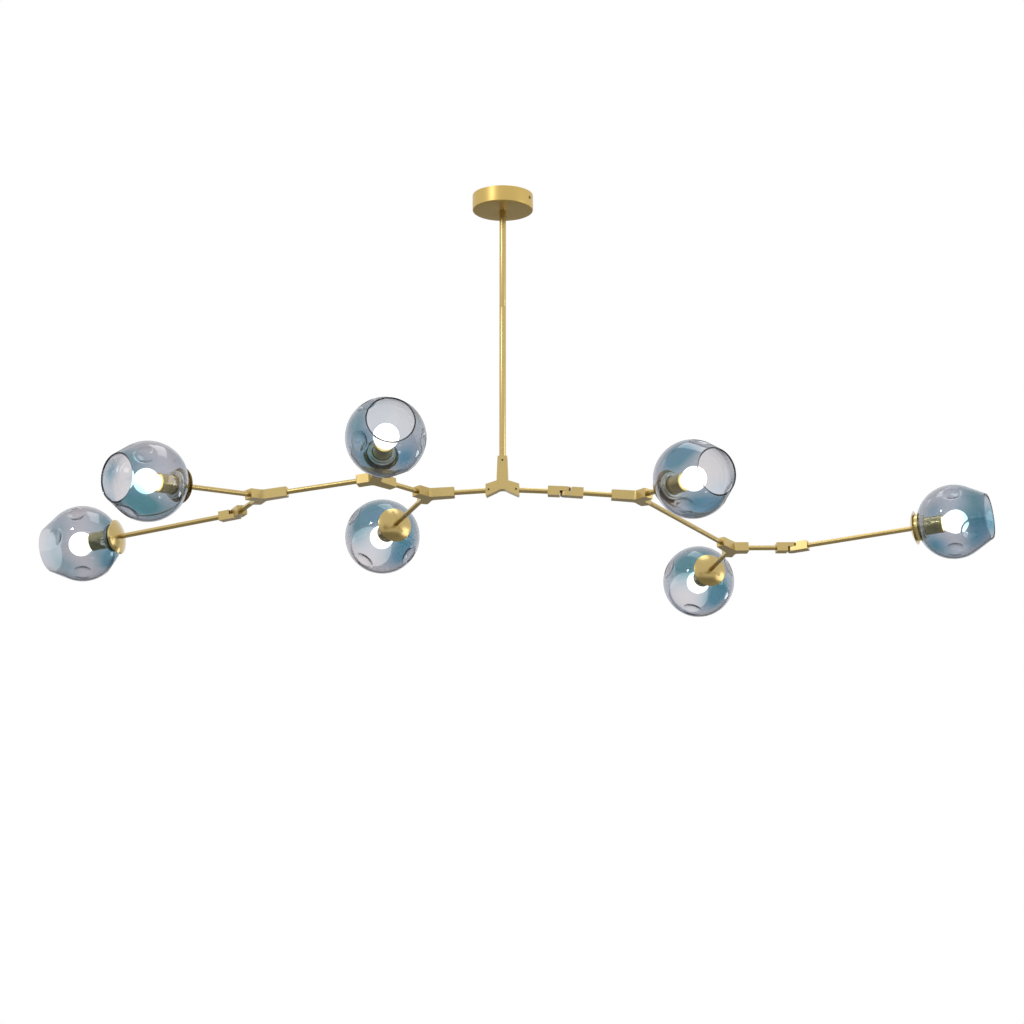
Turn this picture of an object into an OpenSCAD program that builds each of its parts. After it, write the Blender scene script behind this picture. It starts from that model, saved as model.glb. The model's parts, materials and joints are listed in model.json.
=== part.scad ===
// Branch chandelier: ceiling canopy, drop stem, branching rods, three swivel
// knuckles and seven lamps with dimpled, blown glass globes.
// Origin: centre of the ceiling plane. +Z is up, +X runs along the branches,
// and the side seen first is -Y. Sizes are in mm and angles in degrees.

/* [Canopy] */
// Outside diameter of the ceiling canopy
canopy_d = 120; // [116:1:130]
// Height of the canopy
canopy_h = 32; // [30:1:40]
// Thickness of the canopy's spun metal
canopy_wall = 1.5; // [1:0.1:2]
// Radius of the canopy's lower edge
canopy_edge = 2.5; // [2.2:0.1:4]
// Angle of the side screws from the +X axis
canopy_turn = -25.5; // [-40:0.5:0]
// Distance between the two ceiling screws
ceiling_pcd = 80; // [70:1:88]

/* [Stem] */
// Outside diameter of the stem tubes
stem_d = 13; // [12.5:0.1:14]
// Visible length of the upper stem tube
stem_upper = 200; // [120:1:400]
// Visible length of the lower stem tube
stem_lower = 304; // [150:1:500]
// Depth of the stem's seat in the hub
stem_seat = 20; // [16:1:26]

/* [Rods] */
// Outside diameter of every branch rod
rod_d = 10; // [9:0.1:10.5]
// Wall of every branch rod
rod_wall = 1; // [0.8:0.1:1.5]
// Depth of a rod's seat in a block
rod_seat = 12; // [9:1:13]

/* [Blocks] */
// Thickness of the hub and of the branch blocks
block_h = 18; // [16:0.5:20]
// Width of a long arm at its end
arm_end_w = 18.8; // [18:0.1:20]
// Width of the short arms, and of a long arm at its root
arm_root_w = 22; // [21:0.1:23.5]
// Length of a branch block's long arm from the middle
long_arm = 52; // [46:1:60]
// Length of a branch block's short arms from the middle
short_arm = 34; // [31:1:38]
// Height of the hub's long arm above the rods
hub_arm = 66; // [56:1:80]
// Reach of the hub's wings to each side
hub_wing = 32.5; // [31:0.5:36]

/* [Knuckles] */
// Length of each half of a knuckle from its pivot
knuckle_half = 34; // [30:1:40]
// Width of a knuckle and diameter of its round laps
knuckle_w = 20; // [18:0.5:22]
// Thread diameter of the pivot screws
pivot_d = 5; // [4:0.5:6]
// Radial running clearance of the swinging half on its screw
pivot_clear = 0.05; // [0.02:0.01:0.1]

/* [Lamps] */
// Outside diameter of the glass globes
globe_d = 150; // [144:1:156]
// Thickness of the glass
glass_wall = 3; // [2.4:0.1:3.6]
// Outside diameter of a globe's wall where it meets the rim
mouth_d = 90; // [84:1:94]
// Distance from a globe's middle to the front of its rim
mouth_x = 77; // [74:0.5:80]
// Width of the thumb dimples' forming ball
dimple_d = 60; // [50:1:64]
// Depth of the thumb dimples
dimple_depth = 8; // [5:0.5:9]
// Outside diameter of the brass cups
cup_d = 70; // [68:0.5:72]
// Outside diameter of the lampholder sleeves
sleeve_d = 37; // [36:0.5:38]
// Diameter of the bulbs
bulb_d = 48; // [44:1:52]

/* [Left branch] */
// Turn of the hub and its rods about the stem
yaw = -3; // [-6:0.5:6]
// Droop of the first rods below level
droop = 3; // [0:0.5:3]
// Run from the hub to the first left block
l1_run = 145; // [140:1:160]
// Roll of the first left block on its rod
l1_roll = 3.5; // [0:0.5:5]
// Turn from the first left block towards the second
l1_turn_branch = 52; // [48:1:58]
// Turn from the first left block towards lamp 4
l1_turn_lamp = -66; // [-72:1:-60]
// Run from the first to the second left block
l2_run = 149; // [140:1:165]
// Roll of the second left block
l2_roll = 2.5; // [0:0.5:5]
// Turn from the second left block towards lamp 3
l2_turn_lamp = 51; // [46:1:58]
// Upward set of lamp 3's rod
l2_lift = 5; // [2:0.5:6]
// Turn from the second left block towards the third
l2_turn_branch = -61; // [-66:1:-56]
// Run from the second to the third left block
l3_run = 224; // [210:1:240]
// Roll of the third left block
l3_roll = -6.5; // [-8:0.5:-4]
// Turn from the third left block towards lamp 2
l3_turn_lamp = 58; // [52:1:62]
// Turn from the third left block towards the left knuckle
l3_turn_branch = -53; // [-58:1:-50]
// Run from the third left block to the left knuckle's pivot
left_knuckle_run = 141; // [130:1:155]
// Bend of the left knuckle as it hangs
left_bend = 44; // [35:1:50]

/* [Right branch] */
// Run from the hub to the inner right knuckle's pivot
inner_knuckle_run = 122; // [115:1:135]
// Bend of the inner right knuckle as it hangs
inner_bend = 6.5; // [0:0.5:12]
// Run from the inner right knuckle to the first right block
r1_run = 141; // [132:1:155]
// Roll of the first right block
r1_roll = -1.5; // [-3:0.5:1]
// Turn from the first right block towards lamp 5
r1_turn_lamp = -59; // [-64:1:-54]
// Turn from the first right block towards the second
r1_turn_branch = 56; // [50:1:60]
// Run from the first to the second right block
r2_run = 408; // [390:1:430]
// Roll of the second right block
r2_roll = -6.5; // [-8:0.5:-4]
// Turn from the second right block towards lamp 6
r2_turn_lamp = 44; // [42:1:50]
// Turn from the second right block towards the outer knuckle
r2_turn_branch = -52; // [-58:1:-50]
// Run from the second right block to the outer knuckle's pivot
outer_knuckle_run = 127; // [118:1:140]
// Bend of the outer right knuckle as it hangs
outer_bend = -29; // [-35:1:-22]

/* [Lamp reaches] */
// Pivot of the left knuckle to the middle of globe 1
lamp1_run = 340; // [320:1:360]
// Third left block to the middle of globe 2
lamp2_run = 279; // [265:1:300]
// Second left block to the middle of globe 3
lamp3_run = 176; // [165:1:190]
// First left block to the middle of globe 4
lamp4_run = 279; // [265:1:300]
// First right block to the middle of globe 5
lamp5_run = 171; // [160:1:185]
// Second right block to the middle of globe 6
lamp6_run = 230; // [215:1:250]
// Pivot of the outer knuckle to the middle of globe 7
lamp7_run = 339; // [320:1:360]

/* [Hidden] */
$fn = 64;
// Thickness of the bracket's strip, and how far its middle is sunk
strip_t = 2;
strip_w = 22;
strip_drop = 12;
// Height of the side screws below the ceiling
side_screw_z = -12;
side_screw_r = 2;
ceiling_hole_r = 2.75;
// Bracket's side tabs and feet, measured from the middle
tab_x = canopy_d / 2 - canopy_wall - 1.5;
tab_low = -21;
foot_x = 26;
// Terminal block: its screw's place, its size and its wire holes
terminal_x = -16;
terminal_w = 11;
terminal_l = 30;
terminal_pitch = 20;
terminal_screw_r = 1.5;
// Pipe thread that joins the stem tubes
nipple_r = stem_d / 2 - 1.5;
nipple_wall = 1.5;
nipple_grip = 14;
nut_h = 5;
nut_flats = 17;
// Rods' height below the ceiling
drop = canopy_h + stem_upper + stem_lower + hub_arm;
rod_r = rod_d / 2;
wire_r = 3;
// Corners of the blocks; a web's curve stops just short of the arms' sides
web_ease = 0.1;
arm_chamfer = 1.6;
web_r = 8;
web_inner_r = 6;
hub_corner = 2.5;
// Hub: heights above the rods' plane, and the arch below it
wing_top = 9.5;
wing_low = -14.2;
shoulder_z = 16.5;
arm_root_z = 24;
arch_r = 16.7;
arch_top = -1.2;
arch_side = 10.1;
arch_side_z = arch_top - arch_r + sqrt(pow(arch_r, 2) - pow(arch_side, 2));
hub_wire_z = 13;
// Set screws
set_r = 2;
set_back = 6;
set_end = block_h / 2 - 0.5;
hub_set_x = hub_wing - set_back;
hub_set_z = -hub_set_x * tan(droop);
stem_set_z = hub_arm - 9;
// Half-lap of a knuckle: gap between the laps, and its shoulders
lap_gap = 0.6;
washer_t = 0.5;
shoulder_gap = 1;
lap_r = knuckle_w / 2;
chamber_r = lap_r - 2.6;
chamber_h = 3.5;
head_r = pivot_d / 2 + 2;
head_h = 2.5;
// Globe: a ball whose wall runs straight on to the rim of its mouth
globe_r = globe_d / 2;
mouth_r = mouth_d / 2;
rim_r = 2.2;
rim_x = mouth_x - rim_r;
back_hole_r = 21;
ball_r = dimple_d / 2;
// Collar of the lampholder, seated on the globe's back
collar_r = 27;
collar_x = -sqrt(pow(globe_r, 2) - pow(collar_r, 2));
collar_back = collar_x - 10.4;
// Cup: a shallow dish behind the collar
cup_r = cup_d / 2;
cup_wall = 1.5;
cup_rise = 10;
cup_apex = collar_x - 18.4;
cup_ball = (pow(cup_r, 2) + pow(cup_rise, 2)) / (2 * cup_rise);
boss_r = 8;
boss_end = cup_apex + 14;
// Lampholder and its shade ring
sleeve_r = sleeve_d / 2;
sleeve_end = -22;
holder_floor = boss_end + 13;
ring_hub_r = 23.5;
ring_step = collar_x + 7;
ring_end = ring_step + 4.5;
thread_gap = 0.2;
// Bulb
cap_r = 13.2;
bore_r = 13.6;
bulb_r = bulb_d / 2;
bulb_x = 4;
neck_x = sleeve_end + 0.5;
// Dimples of each globe: angle from the mouth's axis, then angle about it
dimples = [
  [[70, 5], [98, -66], [104, 44], [130, -130]],
  [[56, 35], [56, -105], [95, 150]],
  [[59, -155], [71, -15], [56, 126], [111, -71]],
  [[96, -52], [118, -133], [100, 30]],
  [[61, 102], [59, -21], [74, -116]],
  [[99, 19], [100, -71], [125, 160]],
  [[79, 144], [56, -142], [88, -112], [70, 20]]
];

// ---------------------------------------------------------------- places
// Each place has +X along the run away from the hub and +Z up.

module at_hub() {
  translate([0, 0, -drop]) rotate([0, 0, yaw]) children();
}

module at_left() {
  at_hub() rotate([0, 0, 180]) rotate([0, droop, 0]) children();
}

module at_right() {
  at_hub() rotate([0, droop, 0]) children();
}

module at_l1() {
  at_left() translate([l1_run, 0, 0]) rotate([l1_roll, 0, 0]) children();
}

module at_l1_branch() {
  at_l1() rotate([0, 0, l1_turn_branch]) children();
}

module at_l1_lamp() {
  at_l1() rotate([0, 0, l1_turn_lamp]) children();
}

module at_l2() {
  at_l1_branch() translate([l2_run, 0, 0]) rotate([l2_roll, 0, 0]) children();
}

module at_l2_lamp() {
  at_l2() rotate([0, 0, l2_turn_lamp]) rotate([0, -l2_lift, 0]) children();
}

module at_l2_branch() {
  at_l2() rotate([0, 0, l2_turn_branch]) children();
}

module at_l3() {
  at_l2_branch() translate([l3_run, 0, 0]) rotate([l3_roll, 0, 0]) children();
}

module at_l3_lamp() {
  at_l3() rotate([0, 0, l3_turn_lamp]) children();
}

module at_l3_branch() {
  at_l3() rotate([0, 0, l3_turn_branch]) children();
}

module at_left_knuckle() {
  at_l3_branch() translate([left_knuckle_run, 0, 0]) children();
}

module at_left_arm() {
  at_left_knuckle() rotate([0, 0, left_bend]) children();
}

module at_inner_knuckle() {
  at_right() translate([inner_knuckle_run, 0, 0]) children();
}

module at_right_branch() {
  at_inner_knuckle() rotate([0, 0, inner_bend]) children();
}

module at_r1() {
  at_right_branch() translate([r1_run, 0, 0]) rotate([r1_roll, 0, 0]) children();
}

module at_r1_lamp() {
  at_r1() rotate([0, 0, r1_turn_lamp]) children();
}

module at_r1_branch() {
  at_r1() rotate([0, 0, r1_turn_branch]) children();
}

module at_r2() {
  at_r1_branch() translate([r2_run, 0, 0]) rotate([r2_roll, 0, 0]) children();
}

module at_r2_lamp() {
  at_r2() rotate([0, 0, r2_turn_lamp]) children();
}

module at_r2_branch() {
  at_r2() rotate([0, 0, r2_turn_branch]) children();
}

module at_outer_knuckle() {
  at_r2_branch() translate([outer_knuckle_run, 0, 0]) children();
}

module at_right_arm() {
  at_outer_knuckle() rotate([0, 0, outer_bend]) children();
}

// A lamp's place: the middle of its globe, with +X out through its mouth.
module at_lamp(n) {
  if (n == 1) at_left_arm() translate([lamp1_run, 0, 0]) children();
  if (n == 2) at_l3_lamp() translate([lamp2_run, 0, 0]) children();
  if (n == 3) at_l2_lamp() translate([lamp3_run, 0, 0]) children();
  if (n == 4) at_l1_lamp() translate([lamp4_run, 0, 0]) children();
  if (n == 5) at_r1_lamp() translate([lamp5_run, 0, 0]) children();
  if (n == 6) at_r2_lamp() translate([lamp6_run, 0, 0]) children();
  if (n == 7) at_right_arm() translate([lamp7_run, 0, 0]) children();
}

// ---------------------------------------------------------------- helpers

// A round bar along +X from x0 to x1.
module bar(r, x0, x1) {
  translate([x0, 0, 0]) rotate([0, 90, 0]) cylinder(r = r, h = x1 - x0);
}

// A rod: a tube along +X from x0 to x1.
module rod(x0, x1) {
  difference() {
    bar(rod_r, x0, x1);
    bar(rod_r - rod_wall, x0 - 1, x1 + 1);
  }
}

// The seat a rod is pushed into, with the wires' way on to the middle.
module rod_seat_cut(reach) {
  bar(rod_r, reach - rod_seat, reach + 1);
  bar(wire_r, 1, reach - rod_seat + 1);
}

// A point turned about the middle.
function turned(p, a) = [p[0] * cos(a) - p[1] * sin(a), p[0] * sin(a) + p[1] * cos(a)];

// Distance from the middle at which a web's hollow corner meets both arms.
function web_reach(half_angle, r) = (arm_root_w / 2 + r) / tan(half_angle);

// One arm's outline, from its web on the right to its web on the left.
function arm_points(len, end_w, t_right, t_left) = [
  [t_right, -arm_root_w / 2], [len - arm_chamfer, -end_w / 2], [len, -end_w / 2 + arm_chamfer],
  [len, end_w / 2 - arm_chamfer], [len - arm_chamfer, end_w / 2], [t_left, arm_root_w / 2]
];

// Ball-ended cutter's path that hollows the corner between two arms.
module web_cut(middle_angle, half_angle, r) {
  d = (arm_root_w / 2 + r) / sin(half_angle);
  rotate([0, 0, middle_angle]) translate([d, 0]) circle(r = r - web_ease);
}

// Outline of a branch block: long arm at 180 degrees, short arms at two turns.
module block_outline(up_turn, down_turn) {
  s0 = (180 - up_turn) / 2;
  s1 = (180 + down_turn) / 2;
  s2 = (up_turn - down_turn) / 2;
  up = arm_points(short_arm, arm_root_w, web_reach(s2, web_inner_r), web_reach(s0, web_r));
  back = arm_points(long_arm, arm_end_w, web_reach(s0, web_r), web_reach(s1, web_r));
  down = arm_points(short_arm, arm_root_w, web_reach(s1, web_r), web_reach(s2, web_inner_r));
  difference() {
    polygon(concat(
      [for (p = up) turned(p, up_turn)],
      [for (p = back) turned(p, 180)],
      [for (p = down) turned(p, down_turn)]));
    web_cut(up_turn + s0, s0, web_r);
    web_cut(180 + s1, s1, web_r);
    web_cut(down_turn + s2, s2, web_inner_r);
  }
}

// Hexagon-socket set screw: tip at z0, head end at z1.
module set_screw(z0, z1) {
  difference() {
    translate([0, 0, z0]) cylinder(r = set_r, h = z1 - z0, $fn = 32);
    translate([0, 0, z1 - 1.6]) cylinder(r = 1.15, h = 3, $fn = 6);
  }
}

// A branch block: long arm back towards the hub, short arms at two angles.
module branch_block(up_turn, down_turn, lift) {
  difference() {
    translate([0, 0, -block_h / 2]) linear_extrude(height = block_h)
      block_outline(up_turn, down_turn);
    cylinder(r = wire_r + 1.5, h = 2 * wire_r + 1, center = true);
    rotate([0, 0, 180]) rod_seat_cut(long_arm);
    rotate([0, 0, up_turn]) rotate([0, -lift, 0]) rod_seat_cut(short_arm);
    rotate([0, 0, down_turn]) rod_seat_cut(short_arm);
    rotate([0, 0, 180]) set_hole(long_arm);
    rotate([0, 0, up_turn]) set_hole(short_arm);
    rotate([0, 0, down_turn]) set_hole(short_arm);
  }
}

module set_hole(reach) {
  translate([reach - set_back, 0, 1]) cylinder(r = set_r, h = block_h, $fn = 32);
}

// The three set screws of a branch block.
module block_screws(up_turn, down_turn, lift) {
  lift_z = (short_arm - set_back) * tan(lift);
  rotate([0, 0, 180]) translate([long_arm - set_back, 0, 0])
    set_screw(rod_r, set_end);
  rotate([0, 0, up_turn]) translate([short_arm - set_back, 0, 0])
    set_screw(rod_r + lift_z + (lift > 0 ? 0.2 : 0), set_end);
  rotate([0, 0, down_turn]) translate([short_arm - set_back, 0, 0])
    set_screw(rod_r, set_end);
}

// One half of a knuckle, along -X, with its lap above the middle plane.
module knuckle_part(bore, counterbore) {
  difference() {
    union() {
      translate([-knuckle_half, -knuckle_w / 2, -block_h / 2])
        cube([knuckle_half - lap_r - shoulder_gap, knuckle_w, block_h]);
      translate([-lap_r - shoulder_gap - 1, -knuckle_w / 2, lap_gap / 2])
        cube([lap_r + shoulder_gap + 1, knuckle_w, block_h / 2 - lap_gap / 2]);
      translate([0, 0, lap_gap / 2])
        cylinder(r = lap_r, h = block_h / 2 - lap_gap / 2);
    }
    bar(rod_r, -knuckle_half - 1, -knuckle_half + rod_seat);
    bar(wire_r, -knuckle_half + rod_seat - 1, 0);
    translate([0, 0, -block_h]) cylinder(r = bore, h = 2 * block_h);
    cylinder(r = chamber_r, h = chamber_h);
    if (counterbore > 0)
      translate([0, 0, block_h / 2 - head_h - 0.1]) cylinder(r = counterbore, h = head_h + 1);
  }
}

module knuckle_fixed() {
  difference() {
    knuckle_part(pivot_d / 2, 0);
    rotate([0, 0, 180]) set_hole(knuckle_half);
  }
}

module knuckle_swing() {
  difference() {
    rotate([0, 180, 0]) knuckle_part(pivot_d / 2 + pivot_clear, head_r + 0.35);
    set_hole(knuckle_half);
  }
}

// Pivot screw from below, screwed into the upper lap, with its friction ring.
module pivot_set() {
  difference() {
    union() {
      translate([0, 0, -block_h / 2 + head_h - 0.3])
        cylinder(r = pivot_d / 2, h = block_h - head_h - 0.2);
      translate([0, 0, -block_h / 2 + 0.2]) cylinder(r = head_r, h = head_h - 0.2);
    }
    translate([0, 0, -block_h / 2 - 1]) cylinder(r = 1.5, h = 2.6, $fn = 6);
  }
  translate([0, 0, lap_gap / 2 - washer_t]) difference() {
    cylinder(r = lap_r - 0.2, h = washer_t);
    translate([0, 0, -1]) cylinder(r = chamber_r + 0.2, h = washer_t + 2);
  }
}

// Solid form of a globe along +X: a ball of radius g and a cone that leaves
// it at a tangent and has the radius m at x1.
module globe_form(g, m, x1) {
  a = atan2(m, x1) + acos(g / sqrt(x1 * x1 + m * m));
  rotate([0, 90, 0]) rotate_extrude() difference() {
    union() {
      circle(r = g);
      polygon([[0, 0], [(g - 0.05) * sin(a), (g - 0.05) * cos(a)], [m, x1], [0, x1]]);
    }
    translate([-200, -200]) square([200, 400]);
  }
}

// Balls that press the dimples, a wall thicker for the inner face.
module dimple_balls(n, grow) {
  for (d = dimples[n - 1])
    rotate([d[1], 0, 0]) rotate([0, 0, d[0]])
      translate([globe_r + ball_r - dimple_depth, 0, 0]) sphere(r = ball_r + grow);
}

// ---------------------------------------------------------------- pieces

module canopy() {
  color([0.80, 0.64, 0.36]) difference() {
    rotate_extrude() difference() {
      union() {
        translate([0, -canopy_h + canopy_edge]) square([canopy_d / 2, canopy_h - canopy_edge]);
        translate([0, -canopy_h]) square([canopy_d / 2 - canopy_edge, canopy_edge + 1]);
        translate([canopy_d / 2 - canopy_edge, -canopy_h + canopy_edge]) circle(r = canopy_edge);
      }
      translate([0, -canopy_h + canopy_edge])
        square([canopy_d / 2 - canopy_wall, canopy_h]);
      translate([0, -canopy_h + canopy_wall])
        square([canopy_d / 2 - canopy_edge, canopy_edge]);
      translate([canopy_d / 2 - canopy_edge, -canopy_h + canopy_edge])
        circle(r = canopy_edge - canopy_wall);
      translate([0, -canopy_h - 1]) square([stem_d / 2 + 0.1, canopy_wall + 2]);
      translate([-200, -canopy_h - 1]) square([200, canopy_h + 10]);
    }
    rotate([0, 0, canopy_turn]) translate([0, 0, side_screw_z]) rotate([0, 90, 0])
      translate([0, 0, -canopy_d]) cylinder(r = side_screw_r + 0.2, h = 2 * canopy_d, $fn = 32);
  }
}

// Bent steel strip: two feet on the ceiling, a sunk middle and two side tabs.
module mounting_bracket() {
  z0 = -strip_drop;
  color([0.70, 0.70, 0.72]) rotate([0, 0, canopy_turn]) difference() {
    rotate([90, 0, 0]) linear_extrude(height = strip_w, center = true)
      polygon([[-tab_x, 0], [-foot_x, 0], [-foot_x + 5, z0], [foot_x - 5, z0], [foot_x, 0],
        [tab_x, 0], [tab_x, tab_low], [tab_x - strip_t, tab_low], [tab_x - strip_t, -strip_t],
        [foot_x + 1, -strip_t], [foot_x - 4, z0 - strip_t], [-foot_x + 4, z0 - strip_t],
        [-foot_x - 1, -strip_t], [-tab_x + strip_t, -strip_t], [-tab_x + strip_t, tab_low],
        [-tab_x, tab_low]]);
    translate([0, 0, -20]) cylinder(r = nipple_r + 0.1, h = 30);
    for (s = [-1, 1])
      translate([s * ceiling_pcd / 2, 0, -10]) cylinder(r = ceiling_hole_r, h = 20);
    for (s = [0, 180])
      rotate([0, 0, s]) translate([0, 0, side_screw_z]) bar(side_screw_r, tab_x - 5, tab_x + 1);
    translate([terminal_x, 0, -20]) cylinder(r = terminal_screw_r, h = 20, $fn = 32);
  }
}

// Two slotted screws that hold the canopy, and the terminal block's screw.
module canopy_screws() {
  reach = canopy_d / 2;
  color([0.80, 0.64, 0.36]) rotate([0, 0, canopy_turn]) {
    for (s = [0, 180])
      rotate([0, 0, s]) translate([0, 0, side_screw_z]) difference() {
        union() {
          bar(side_screw_r, tab_x - 6, reach + 1);
          bar(3.6, reach, reach + 2.2);
        }
        translate([reach + 1.4, -5, -0.5]) cube([3, 10, 1]);
      }
    translate([terminal_x, 0, -strip_drop - strip_t - 6])
      cylinder(r = terminal_screw_r, h = strip_t + 6, $fn = 32);
    translate([terminal_x, 0, -strip_drop]) cylinder(r = 2.8, h = 1.8, $fn = 32);
  }
}

// Ceramic terminal block under the bracket's middle.
module terminal_block() {
  top = -strip_drop - strip_t;
  color([0.93, 0.92, 0.88]) rotate([0, 0, canopy_turn]) difference() {
    translate([terminal_x - terminal_w / 2, -terminal_l / 2, top - terminal_w])
      cube([terminal_w, terminal_l, terminal_w]);
    for (s = [-0.5, 0.5])
      translate([terminal_x, s * terminal_pitch, top - 6]) {
        rotate([0, 90, 0]) cylinder(r = 2, h = 2 * terminal_w, center = true, $fn = 32);
        translate([0, 0, -6]) cylinder(r = 1.6, h = 6, $fn = 32);
      }
    translate([terminal_x, 0, top - 6]) cylinder(r = terminal_screw_r, h = 7, $fn = 32);
  }
}

// Threaded tube of a nipple along Z.
module nipple(z0, z1) {
  translate([0, 0, z0]) difference() {
    cylinder(r = nipple_r, h = z1 - z0);
    translate([0, 0, -1]) cylinder(r = nipple_r - nipple_wall, h = z1 - z0 + 2);
  }
}

// Nipple and nut at the bracket, and the nipple between the stem tubes.
module stem_fittings() {
  under = -strip_drop - strip_t;
  seam = -canopy_h - stem_upper;
  color([0.75, 0.72, 0.62]) {
    nipple(under - nipple_grip, -strip_drop + nut_h + 2);
    translate([0, 0, -strip_drop]) difference() {
      cylinder(r = nut_flats / 2 / cos(30), h = nut_h, $fn = 6);
      translate([0, 0, -1]) cylinder(r = nipple_r, h = nut_h + 2);
    }
    nipple(seam - nipple_grip, seam + nipple_grip);
  }
}

// Stem tube along Z.
module stem_tube(z0, z1) {
  translate([0, 0, z0]) difference() {
    cylinder(r = stem_d / 2, h = z1 - z0);
    translate([0, 0, -1]) cylinder(r = nipple_r, h = z1 - z0 + 2);
  }
}

module stem_upper_tube() {
  color([0.83, 0.68, 0.40])
    stem_tube(-canopy_h - stem_upper, -strip_drop - strip_t);
}

module stem_lower_tube() {
  seam = -canopy_h - stem_upper;
  color([0.83, 0.68, 0.40])
    stem_tube(seam - stem_lower - stem_seat, seam);
}

// Three-way hub: long arm up to the stem, wings to both rods, arched below.
module hub_block() {
  root = arm_root_w / 2;
  top = arm_end_w / 2;
  color([0.80, 0.64, 0.36]) at_hub() difference() {
    rotate([90, 0, 0]) translate([0, 0, -block_h / 2]) linear_extrude(height = block_h)
      difference() {
        union() {
          polygon([[root, shoulder_z], [root, arm_root_z], [top, hub_arm - hub_corner],
            [top - hub_corner, hub_arm - hub_corner], [top - hub_corner, hub_arm],
            [-top + hub_corner, hub_arm], [-top + hub_corner, hub_arm - hub_corner],
            [-top, hub_arm - hub_corner], [-root, arm_root_z], [-root, shoulder_z],
            [-hub_wing, wing_top], [-hub_wing, wing_low + 1.8], [-hub_wing + 2, wing_low],
            [-arch_side, arch_side_z], [arch_side, arch_side_z],
            [hub_wing - 2, wing_low], [hub_wing, wing_low + 1.8], [hub_wing, wing_top]]);
          for (m = [-1, 1])
            translate([m * (top - hub_corner), hub_arm - hub_corner]) circle(r = hub_corner);
        }
        translate([0, arch_top - arch_r]) circle(r = arch_r);
      }
    translate([0, 0, hub_arm - stem_seat]) cylinder(r = stem_d / 2, h = stem_seat + 1);
    translate([0, 0, hub_wire_z])
      cylinder(r = wire_r, h = hub_arm - stem_seat - hub_wire_z + 1);
    for (s = [0, 180])
      rotate([0, 0, s]) {
        rotate([0, droop, 0]) bar(rod_r, hub_wing - rod_seat, hub_wing + 3);
        translate([0, 0, hub_wire_z]) rotate([0, 35, 0]) bar(wire_r - 0.5, 0, 25);
      }
    for (s = [-1, 1])
      translate([s * hub_set_x, 0, hub_set_z]) rotate([90, 0, 0])
        cylinder(r = set_r, h = block_h, $fn = 32);
    translate([0, 0, stem_set_z]) rotate([90, 0, 0]) cylinder(r = set_r, h = block_h, $fn = 32);
  }
}

module block_left_1() {
  color([0.80, 0.64, 0.36]) at_l1() branch_block(l1_turn_branch, l1_turn_lamp, 0);
}

module block_left_2() {
  color([0.80, 0.64, 0.36]) at_l2() branch_block(l2_turn_lamp, l2_turn_branch, l2_lift);
}

module block_left_3() {
  color([0.80, 0.64, 0.36]) at_l3() branch_block(l3_turn_lamp, l3_turn_branch, 0);
}

module block_right_1() {
  color([0.80, 0.64, 0.36]) at_r1() branch_block(r1_turn_branch, r1_turn_lamp, 0);
}

module block_right_2() {
  color([0.80, 0.64, 0.36]) at_r2() branch_block(r2_turn_lamp, r2_turn_branch, 0);
}

module branch_rods_left() {
  a = short_arm - rod_seat;
  b = long_arm - rod_seat;
  color([0.83, 0.68, 0.40]) {
    at_left() rod(hub_wing - rod_seat, l1_run - b);
    at_l1_branch() rod(a, l2_run - b);
    at_l2_branch() rod(a, l3_run - b);
    at_l3_branch() rod(a, left_knuckle_run - knuckle_half + rod_seat);
  }
}

module branch_rod_inner() {
  color([0.83, 0.68, 0.40]) at_right()
    rod(hub_wing - rod_seat, inner_knuckle_run - knuckle_half + rod_seat);
}

module branch_rods_right() {
  a = short_arm - rod_seat;
  b = long_arm - rod_seat;
  color([0.83, 0.68, 0.40]) {
    at_right_branch() rod(knuckle_half - rod_seat, r1_run - b);
    at_r1_branch() rod(a, r2_run - b);
    at_r2_branch() rod(a, outer_knuckle_run - knuckle_half + rod_seat);
  }
}

module lamp_rods_left() {
  a = short_arm - rod_seat;
  color([0.83, 0.68, 0.40]) {
    at_l3_lamp() rod(a, lamp2_run + boss_end);
    at_l2_lamp() rod(a, lamp3_run + boss_end);
    at_l1_lamp() rod(a, lamp4_run + boss_end);
  }
}

module lamp_rods_right() {
  a = short_arm - rod_seat;
  color([0.83, 0.68, 0.40]) {
    at_r1_lamp() rod(a, lamp5_run + boss_end);
    at_r2_lamp() rod(a, lamp6_run + boss_end);
  }
}

module lamp_rod_1() {
  color([0.83, 0.68, 0.40]) at_left_arm() rod(knuckle_half - rod_seat, lamp1_run + boss_end);
}

module lamp_rod_7() {
  color([0.83, 0.68, 0.40]) at_right_arm() rod(knuckle_half - rod_seat, lamp7_run + boss_end);
}

module knuckle_left_fixed() {
  color([0.80, 0.64, 0.36]) at_left_knuckle() knuckle_fixed();
}

module knuckle_left_swing() {
  color([0.80, 0.64, 0.36]) at_left_arm() knuckle_swing();
}

module pivot_left() {
  color([0.70, 0.66, 0.55]) at_left_knuckle() pivot_set();
}

module knuckle_inner_fixed() {
  color([0.80, 0.64, 0.36]) at_inner_knuckle() knuckle_fixed();
}

module knuckle_inner_swing() {
  color([0.80, 0.64, 0.36]) at_right_branch() knuckle_swing();
}

module pivot_inner() {
  color([0.70, 0.66, 0.55]) at_inner_knuckle() pivot_set();
}

module knuckle_outer_fixed() {
  color([0.80, 0.64, 0.36]) at_outer_knuckle() knuckle_fixed();
}

module knuckle_outer_swing() {
  color([0.80, 0.64, 0.36]) at_right_arm() knuckle_swing();
}

module pivot_outer() {
  color([0.70, 0.66, 0.55]) at_outer_knuckle() pivot_set();
}

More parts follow.
